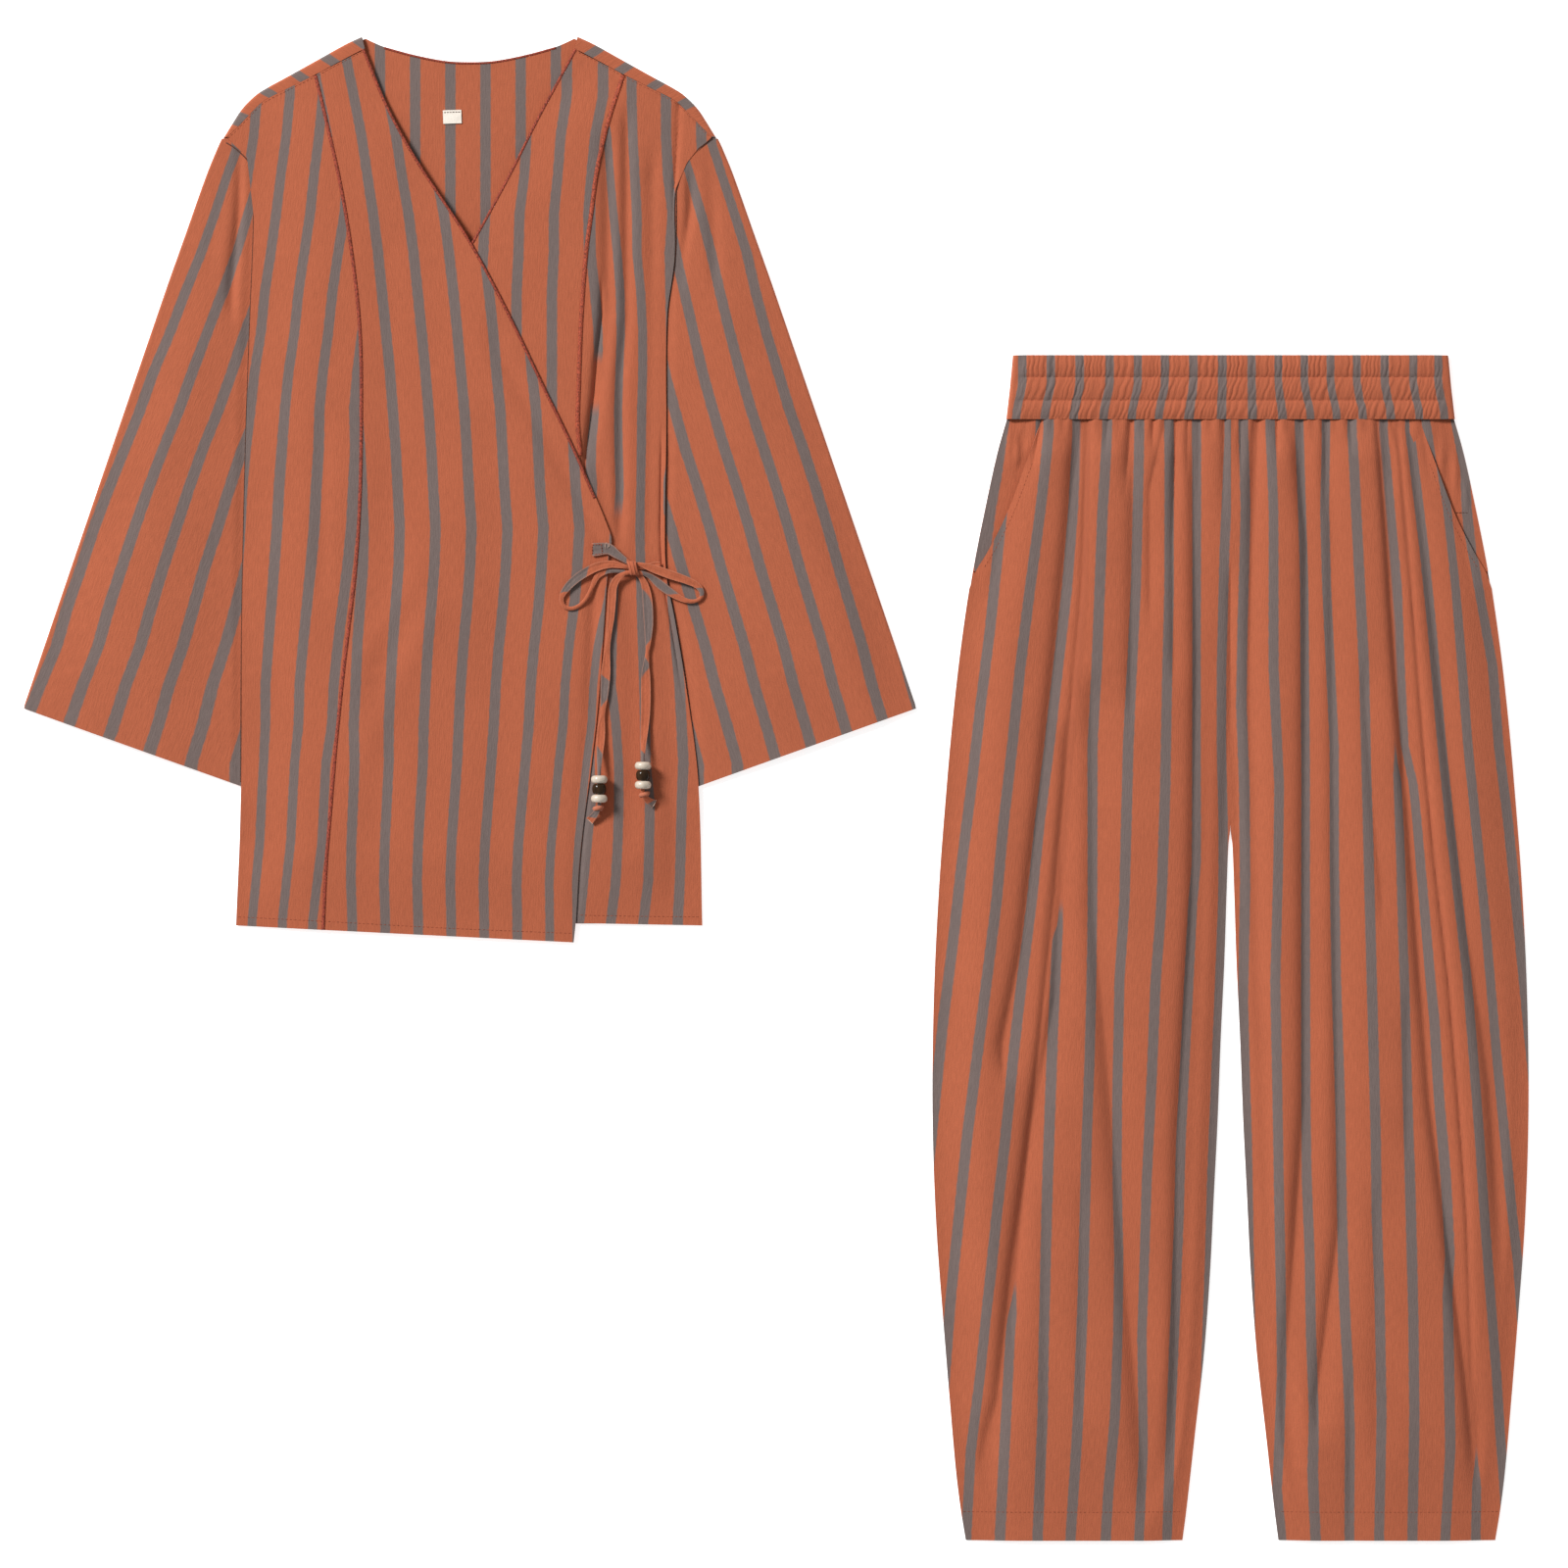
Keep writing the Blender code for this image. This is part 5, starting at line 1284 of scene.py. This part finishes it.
def make_waistband(cloth):
    """A flat elastic band as one flattened ring."""
    roll = (WAIST_LAYER - FLOOR_LAYER) / 2
    front_columns = 620
    fold_columns = 8
    back_columns = 40
    rows = 46
    down = np.linspace(0, WAIST_SEAM, rows + 1)
    half = (read(LEG_OUTER, down) - WALL / 2 - roll)[:, None]
    deep = down[:, None]
    x = half * np.linspace(-1, 1, front_columns + 1)[None, :]
    columns = [np.stack([x, np.broadcast_to(deep, x.shape), band_height(x, deep, half)], axis=-1)]

    def add(x, height):
        columns.append(np.stack([x, np.broadcast_to(deep, x.shape), np.full(x.shape, height)], axis=-1))

    for step in range(1, fold_columns):
        turn = math.pi * step / fold_columns
        add(half + roll * math.sin(turn), WAIST_LAYER - roll * (1 - math.cos(turn)))
    back = half * np.linspace(1, -1, back_columns + 1)[None, :]
    add(back, FLOOR_LAYER)
    for step in range(1, fold_columns):
        turn = math.pi * step / fold_columns
        add(-half - roll * math.sin(turn), FLOOR_LAYER + roll * (1 - math.cos(turn)))
    local = np.concatenate(columns, axis=1)
    x = local[..., 0]
    slant = BAND_SLANT * ease(deep, 20, WAIST_SEAM) * np.sign(x - 5) * ease(np.abs(x - 5), 0, 60)
    phase = read(BAND_STRIPES, x - slant)
    uv = weave_uv(phase, np.broadcast_to(deep, x.shape))
    points = garment_points(local, TROUSERS_AT)
    thing = surface("waistband_cloth", points, uv, cloth, ring=True)
    declare_cloth("trousers_waistband", points, ring=True)


def make_tie(name, route, bead_at, cloth):
    """A folded strap along its route: anchor, half of the bow, and the tail that carries three beads."""
    stations = smooth_route(route, 1.6)
    bead_cloth = cover_height(*bead_at)
    x, down, lift, width, grey = stations.T
    ahead = np.gradient(stations[:, :2], axis=0)
    ahead /= np.linalg.norm(ahead, axis=1)[:, None]
    beside = np.stack([-ahead[:, 1], ahead[:, 0]], axis=1)
    cloth_height = cover_height(x, down)
    cloth_height = cloth_height + (bead_cloth - cloth_height) * ease(lift, TIE_STEP, BEAD_LIFT)
    base = cloth_height + TIE_CLEAR + TIE_THICK / 2 + lift
    u = np.linspace(0, 1, 11)[None, :]
    spread = (u - 0.5)[..., None] * width[:, None, None] * beside[:, None]
    crown = np.clip(0.16 * (7.4 - width), 0.05, 0.7)[:, None] * (1 - (2 * u - 1) ** 2)
    travelled = np.concatenate([[0], np.cumsum(np.linalg.norm(np.diff(stations[:, :2], axis=0), axis=1))])
    ripple = 0.10 * np.sin(travelled[:, None] / 2.3 + 5 * u) * (width[:, None] > 3)
    lips = 0.24 * (np.abs(2 * u - 1) > 0.75) * (width[:, None] > 3)
    lips = lips - 0.30 * np.exp(-(((u - 0.62) / 0.09) ** 2)) * (width[:, None] > 4.5)
    at = stations[:, None, :2] + spread
    local = np.concatenate([at, (base[:, None] + crown + ripple + lips)[..., None]], axis=-1)
    points = garment_points(local, JACKET_AT)
    # UV y across the strap also places the painted highlight on its folded edges.
    uv = np.stack([np.broadcast_to(grey[:, None], crown.shape), np.broadcast_to(u, crown.shape)], axis=-1)
    thing = surface(f"strap_{name}", points, uv, cloth, wall=STRAP_WALL)
    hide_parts(f"tie_{name}")
    path = garment_points(np.column_stack([x, down, base]), JACKET_AT)


def lathe(name, profile, centre, material, steps=40, uneven=0.012):
    """A turned, slightly uneven bead along the y axis: profile is (radius, along), closed, in millimetres."""
    profile = np.array(profile, float)
    turn = np.linspace(0, 2 * math.pi, steps, endpoint=False)
    wobble = 1 + uneven * np.sin(3 * turn + 1) + 0.6 * uneven * np.sin(5 * turn)
    radius = profile[:, :1] * wobble
    along = np.broadcast_to(profile[:, 1:], radius.shape)
    points = np.stack([radius * np.cos(turn), along, radius * np.sin(turn)], axis=-1) * MM + centre
    index = np.arange(radius.size).reshape(radius.shape)
    quads = corner_stack(np.concatenate([index, index[:1]]), ring=True).reshape(-1, 4)
    thing = mesh_object(name, points, quads.tolist(), material)
    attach(thing, "root")
    return thing


def bead_profile(radius, half_length, round_share):
    """Down the outside from one rim to the other, and back through the bore."""
    corner = radius * round_share
    found = []
    for angle in np.linspace(-math.pi / 2, math.pi / 2, 15):
        found.append((radius - corner + corner * math.cos(angle) ** 0.8, half_length * math.sin(angle)))
    for r, share in ((BEAD_BORE + 0.5, 0.96), (BEAD_BORE, 0.8), (BEAD_BORE, -0.8), (BEAD_BORE + 0.5, -0.96)):
        found.append((r, half_length * share))
    return found


def make_beads(cream, dark, cloth):
    """Three beads on each tail, with the knotted strap that stops them."""
    pieces = {}
    for side, away, (x, down) in BEAD_SIDES:
        height = float(cover_height(x, down)) + TIE_CLEAR + TIE_THICK / 2 + BEAD_LIFT
        names = []
        for place, step, *sizes in BEADS:
            material, slot = (cream, "cream_bead") if step else (dark, "dark_bead")
            centre = garment_points((x, down + step * BEAD_PITCH, height), JACKET_AT)
            thing = lathe(f"turned_bead_{place}_{side}", bead_profile(*sizes), centre, material)
            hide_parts(f"bead_{place}_{side}")
            names.append(thing.name)
        loops = []
        for t in np.arange(60) / 59:
            angle = 2.6 * math.pi * t
            loops.append((
                x + away + 3.0 * math.cos(angle) * (1 - 0.25 * t),
                down + BEAD_PITCH + 6.2 + 2.6 * t + 1.2 * math.sin(angle * 0.5),
                height - 1.6 - 2.2 * t + 2.2 * math.sin(angle),
            ))
        knot = tube(f"tail_knot_{side}", garment_points(loops, JACKET_AT), 1.9 * MM, cloth, sides=8, flat=0.8)
        pieces[side] = [*names, knot.name]
    return pieces


def make_knot(cloth):
    """The bow's knot: one short turn of the strap, pinched at both ends and creased along its middle."""
    columns = 28
    rows = 22
    u, v = grid(columns, rows)
    angle = (v - 0.5) * math.pi * 1.08
    pinch = 1 - 0.16 * np.cos(angle) ** 2
    crease = 0.34 * np.sin(u * 13.0 + 0.8 * np.sin(v * 5)) + 0.2 * np.sin(u * 29.0 + 2)
    x = (u - 0.5) * 7.6 * pinch + 1.3 * np.sin(angle)
    radius_down = 5.4 + 0.25 * crease
    height = 2.9 * np.cos(angle) - 0.9 * (2 * u - 1) ** 2 + crease * np.cos(angle)
    down = radius_down * np.sin(angle)
    base = float(cover_height(*KNOT_AT)) + TIE_CLEAR + TIE_THICK + TIE_STEP + 0.6
    local = np.stack([KNOT_AT[0] + x, KNOT_AT[1] + down, base + np.maximum(height, -0.8)], axis=-1)
    points = garment_points(local, JACKET_AT)
    # UV y across the knot's strap also places the painted highlight on its folded edges.
    uv = np.stack([np.zeros_like(u), u * 0.9 + 0.05], axis=-1)
    thing = surface("bow_knot", points, uv, cloth, wall=STRAP_WALL)
    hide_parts("tie_knot")
    return thing


def on_surface(points, place, lift, spacing=2.0):
    """Points of a line laid on a cloth surface, in the shared frame."""
    line = smooth(points)
    length = np.linalg.norm(np.diff(line, axis=0), axis=1).sum()
    at = walk(line, np.linspace(0, 1, max(int(length / spacing), 2)))
    height = place(at[:, 0], at[:, 1]) + lift
    return np.column_stack([at, height])


def overlock(name, points, place, width, lift, material):
    """A ridge of looped thread over a seam of the jacket."""
    line = on_surface(points, place, lift, 1.1)
    ahead = np.gradient(line[:, :2], axis=0)
    ahead /= np.linalg.norm(ahead, axis=1)[:, None]
    beside = np.stack([-ahead[:, 1], ahead[:, 0]], axis=1)
    sway = np.where(np.arange(len(line)) % 2 == 0, 0.5, -0.5) * width
    zigzag = line.copy()
    zigzag[:, :2] += beside * sway[:, None]
    zigzag[:, 2] += 0.12
    tube(f"{name}_core", garment_points(line, JACKET_AT), 0.5 * width * MM, material, sides=8, flat=0.42)
    tube(f"{name}_loops", garment_points(zigzag, JACKET_AT), 0.3 * MM, material, sides=4)


def make_seams(red, bright, dark, orange_thread):
    """Overlocked seams, rolled edges, rows of stitching, and dark thread lines painted as shadow between the
    body and the sleeves.
    """

    def right_top(x, down):
        return right_front_place(x, down) + WALL / 2

    def left_top(x, down):
        return left_front_place(x, down) + WALL / 2

    def neck_top(x, down):
        return 1.0 + 0 * x

    def groove(x, down):
        return SLEEVE_UPPER + 0.75 + 0 * x

    def stitches(name, points, place, garment_at=JACKET_AT):
        row = on_surface(points, place, 0.05)
        stitch_row(name, garment_points(row, garment_at), STITCH, orange_thread)

    for name, line, place, width, lift, thread in (
        ("princess_right", PRINCESS_RIGHT, right_top, 2.8, 0.1, red),
        ("princess_left_upper", PRINCESS_LEFT[:9], left_top, 3.6, 0.1, bright),
        ("rolled_wrap_edge", shifted(WRAP_ABOVE_BOW, dx=-1.3), right_top, 2.1, 0.15, red),
        ("rolled_under_edge", shifted(UNDER_EDGE[:5], dx=0.9), left_top, 2.1, 0.05, red),
        ("rolled_neck_edge", shifted(NECK_BACK[1:-1], ddown=0.9), neck_top, 1.9, 0.05, red),
    ):
        overlock(name, line, place, width, lift, thread)
    stitches("hem_stitches_front", ((-189, 718), (-119.5, 721.5), (-20, 727), (85.5, 731.5)), right_top)
    stitches("hem_stitches_under", ((90, 716.5), (140, 717.5), (188.5, 718)), left_top)
    stitches("shoulder_stitches_right", shifted(mirrored(SHOULDER_SEAM[::-1]), ddown=1.6), right_top)
    stitches("shoulder_stitches_left", shifted(SHOULDER_SEAM, ddown=1.6), left_top)
    # Dark thread in the groove between the body and each sleeve, a painted shadow line that also stands for
    # the seam there.
    for name, line, radius in (
        ("armhole_seam_and_shadow_right", ((-198.6, 86.6), *shifted(ARMHOLE_RIGHT[1:4], dx=-0.6, ddown=0.7)), 0.5),
        ("side_seam_and_shadow_right", shifted(part_of(SIDE_RIGHT, 106, 608), dx=-0.5), 0.34),
        ("armhole_seam_and_shadow_left", ((198.2, 83.2), *shifted(ARMHOLE_LEFT[1:4], dx=0.6, ddown=0.7)), 0.45),
        ("side_seam_and_shadow_left", shifted(part_of(SIDE_LEFT, 124, 600), dx=0.6), 0.5),
    ):
        tube(name, garment_points(on_surface(line, groove, 0), JACKET_AT), radius * MM, dark, sides=5)
    box = ((100.2, 422.6), (100.2, 415.0), (107.5, 414.4), (108.5, 422.0), (100.6, 423.0))
    on_strap = cover_height(104, 418.8) + TIE_CLEAR + TIE_THICK + 0.1
    line = np.column_stack([walk(box, np.linspace(0, 1, 60)), np.full(60, on_strap)])
    stitch_row("anchor_stitches", garment_points(line, JACKET_AT), ANCHOR_STITCH, bright)
    for name, side, folds in LEGS:

        def leg_top(x, down, side=side, folds=folds):
            return leg_height(side, folds, x, down) + WALL / 2

        outer = side * (float(read(LEG_OUTER, LEG_HEM_STITCHES)) - 1.5)
        inner = side * (float(read(LEG_INNER, LEG_HEM_STITCHES)) + 1.5)
        hem = [(x, LEG_HEM_STITCHES) for x in (outer, 0.5 * (outer + inner), inner)]
        stitches(f"hem_stitches_{name}", hem, leg_top, TROUSERS_AT)
        mouth = [(side * (x - 5.0), down) for x, down in POCKET_MOUTH[1:]]
        stitches(f"mouth_stitches_{name}", mouth, leg_top, TROUSERS_AT)
    bar = np.array([(x, 128.2, SLEEVE_LOWER + 0.65) for x in np.linspace(181, 195.2, 12)])
    stitch_row("facing_stitches", garment_points(bar, TROUSERS_AT), FACING_STITCH, dark)
    for count, down in enumerate(BAND_CHANNELS[1:3], 1):
        half = float(read(LEG_OUTER, down)) - 4
        x = np.linspace(-half, half, 240)
        height = band_height(x, np.full_like(x, down), half + 0.8) + 0.3
        row = np.column_stack([x, np.full_like(x, down), height])
        stitch_row(f"band_stitches_{count}", garment_points(row, TROUSERS_AT), BAND_STITCH, red)


def make_loose_ends(pale):
    """Pale cut edges and a few loose threads where the straps end."""
    for name, points, radius in (
        ("cut_edge_right", ((95.6, 637.2, 1.1), (98.0, 639.8, 1.3), (100.6, 642.2, 1.1)), 0.3),
        ("cut_edge_left", ((148.6, 629.2, 1.1), (150.8, 626.2, 1.3), (152.2, 622.8, 1.1)), 0.3),
        ("loose_thread_1", ((111.0, 418.0, 1.9), (110.6, 415.2, 2.1), (112.2, 412.6, 0.9)), 0.2),
        ("loose_thread_2", ((112.6, 417.6, 1.9), (113.8, 415.6, 2.1), (113.4, 413.4, 0.9)), 0.2),
    ):
        line = smooth(points)
        line[:, 2] += cover_height(line[:, 0], line[:, 1])
        tube(name, garment_points(line, JACKET_AT), radius * MM, pale, sides=5)


def make_label(tape, thread):
    """The small neck label with one short row of stitches."""
    u, v = grid(24, 18)
    wide = (u - 0.5) * LABEL_SIZE[0]
    tall = (v - 0.5) * LABEL_SIZE[1]
    x = LABEL_CENTRE[0] + wide * math.cos(LABEL_TILT) + tall * math.sin(LABEL_TILT)
    down = LABEL_CENTRE[1] + tall * math.cos(LABEL_TILT) - wide * math.sin(LABEL_TILT)
    height = 1.75 + 0.18 * np.sin(u * math.pi) + 0.05 * np.sin(9 * v + 4 * u)
    points = garment_points(np.stack([x, down, height], axis=-1), JACKET_AT)
    thing = surface("bare_label", points, np.stack([u, v], axis=-1), tape, wall=0.4)
    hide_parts("size_label")
    top = LABEL_CENTRE[1] - 3.7
    row = [(LABEL_CENTRE[0] + step, top - 0.03 * step, 2.2) for step in np.linspace(-7, 7, 12)]
    stitch_row("label_stitches", garment_points(row, JACKET_AT), LABEL_STITCH, thread)


def make_stage(floor):
    corners = np.array(((-1, -1, 0), (1, -1, 0), (1, 1, 0), (-1, 1, 0)), float)
    thing = mesh_object("floor", corners * FLOOR_HALF, [[0, 1, 2, 3]], floor)
    world = bpy.data.worlds.new("studio")
    bpy.context.scene.world = world
    world.use_nodes = True
    world.node_tree.nodes["Background"].inputs[0].default_value = (1, 1, 1, 1)
    world.node_tree.nodes["Background"].inputs[1].default_value = WORLD_LIGHT
    key = bpy.data.lights.new("key", "AREA")
    key.shape = "DISK"
    key.size = LAMP_SIZE
    key.energy = LAMP_POWER
    thing = bpy.data.objects.new("key", key)
    thing.location = LAMP_AT
    thing.rotation_euler = (-Vector(LAMP_AT)).to_track_quat("-Z", "Y").to_euler()
    bpy.context.scene.collection.objects.link(thing)
    bpy.context.scene.view_settings.view_transform = "Standard"
    bpy.context.scene.view_settings.look = "None"


def make_camera():
    data = bpy.data.cameras.new("overhead")
    data.sensor_width = 36
    data.lens = CAMERA_LENS
    data.clip_end = 30
    camera = bpy.data.objects.new("overhead", data)
    camera.location = CAMERA_AT
    bpy.context.scene.collection.objects.link(camera)
    bpy.context.scene.camera = camera


def main():
    make_camera()
    make_stage(floor_material())
    cloth = cloth_material("striped_cotton")
    strap = cloth_material("strap_cotton", strap=True)
    red = thread_material("seam_thread", SEAM_RED)
    orange = thread_material("sewing_thread", THREAD_ORANGE)
    pale = thread_material("pale_thread", THREAD_PALE)
    brown_thread_and_shadow = thread_material("dark_thread_and_painted_shadow", BROWN_THREAD_AND_PAINTED_SHADOW)
    cream_bead = bead_material("pale_wood_bead", BEAD_CREAM, 0.82, 0.32, 0.35, 260.0, 0.5)
    dark_bead = bead_material("dark_gloss_bead", BEAD_DARK, 2.0, 0.16, 0.18, 300.0, 0.12)
    knot = make_knot(strap)
    beads = make_beads(cream_bead, dark_bead, strap)
    make_tie("right", TIE_RIGHT, BEADS_RIGHT, strap)
    make_tie("left", TIE_LEFT, BEADS_LEFT, strap)
    make_back(cloth)
    make_fronts(cloth)
    make_sleeve("right", -1, ARMHOLE_RIGHT, SIDE_RIGHT, FOLDS_SLEEVE_RIGHT, STRIPES_SLEEVE_RIGHT, cloth)
    make_sleeve("left", 1, ARMHOLE_LEFT, SIDE_LEFT, FOLDS_SLEEVE_LEFT, STRIPES_SLEEVE_LEFT, cloth)
    make_trousers(cloth)
    make_waistband(cloth)
    bright = thread_material("bright_seam_thread", SEAM_BRIGHT)
    make_seams(red, bright, brown_thread_and_shadow, orange)
    make_label(label_material(), brown_thread_and_shadow)
    make_loose_ends(pale)


main()
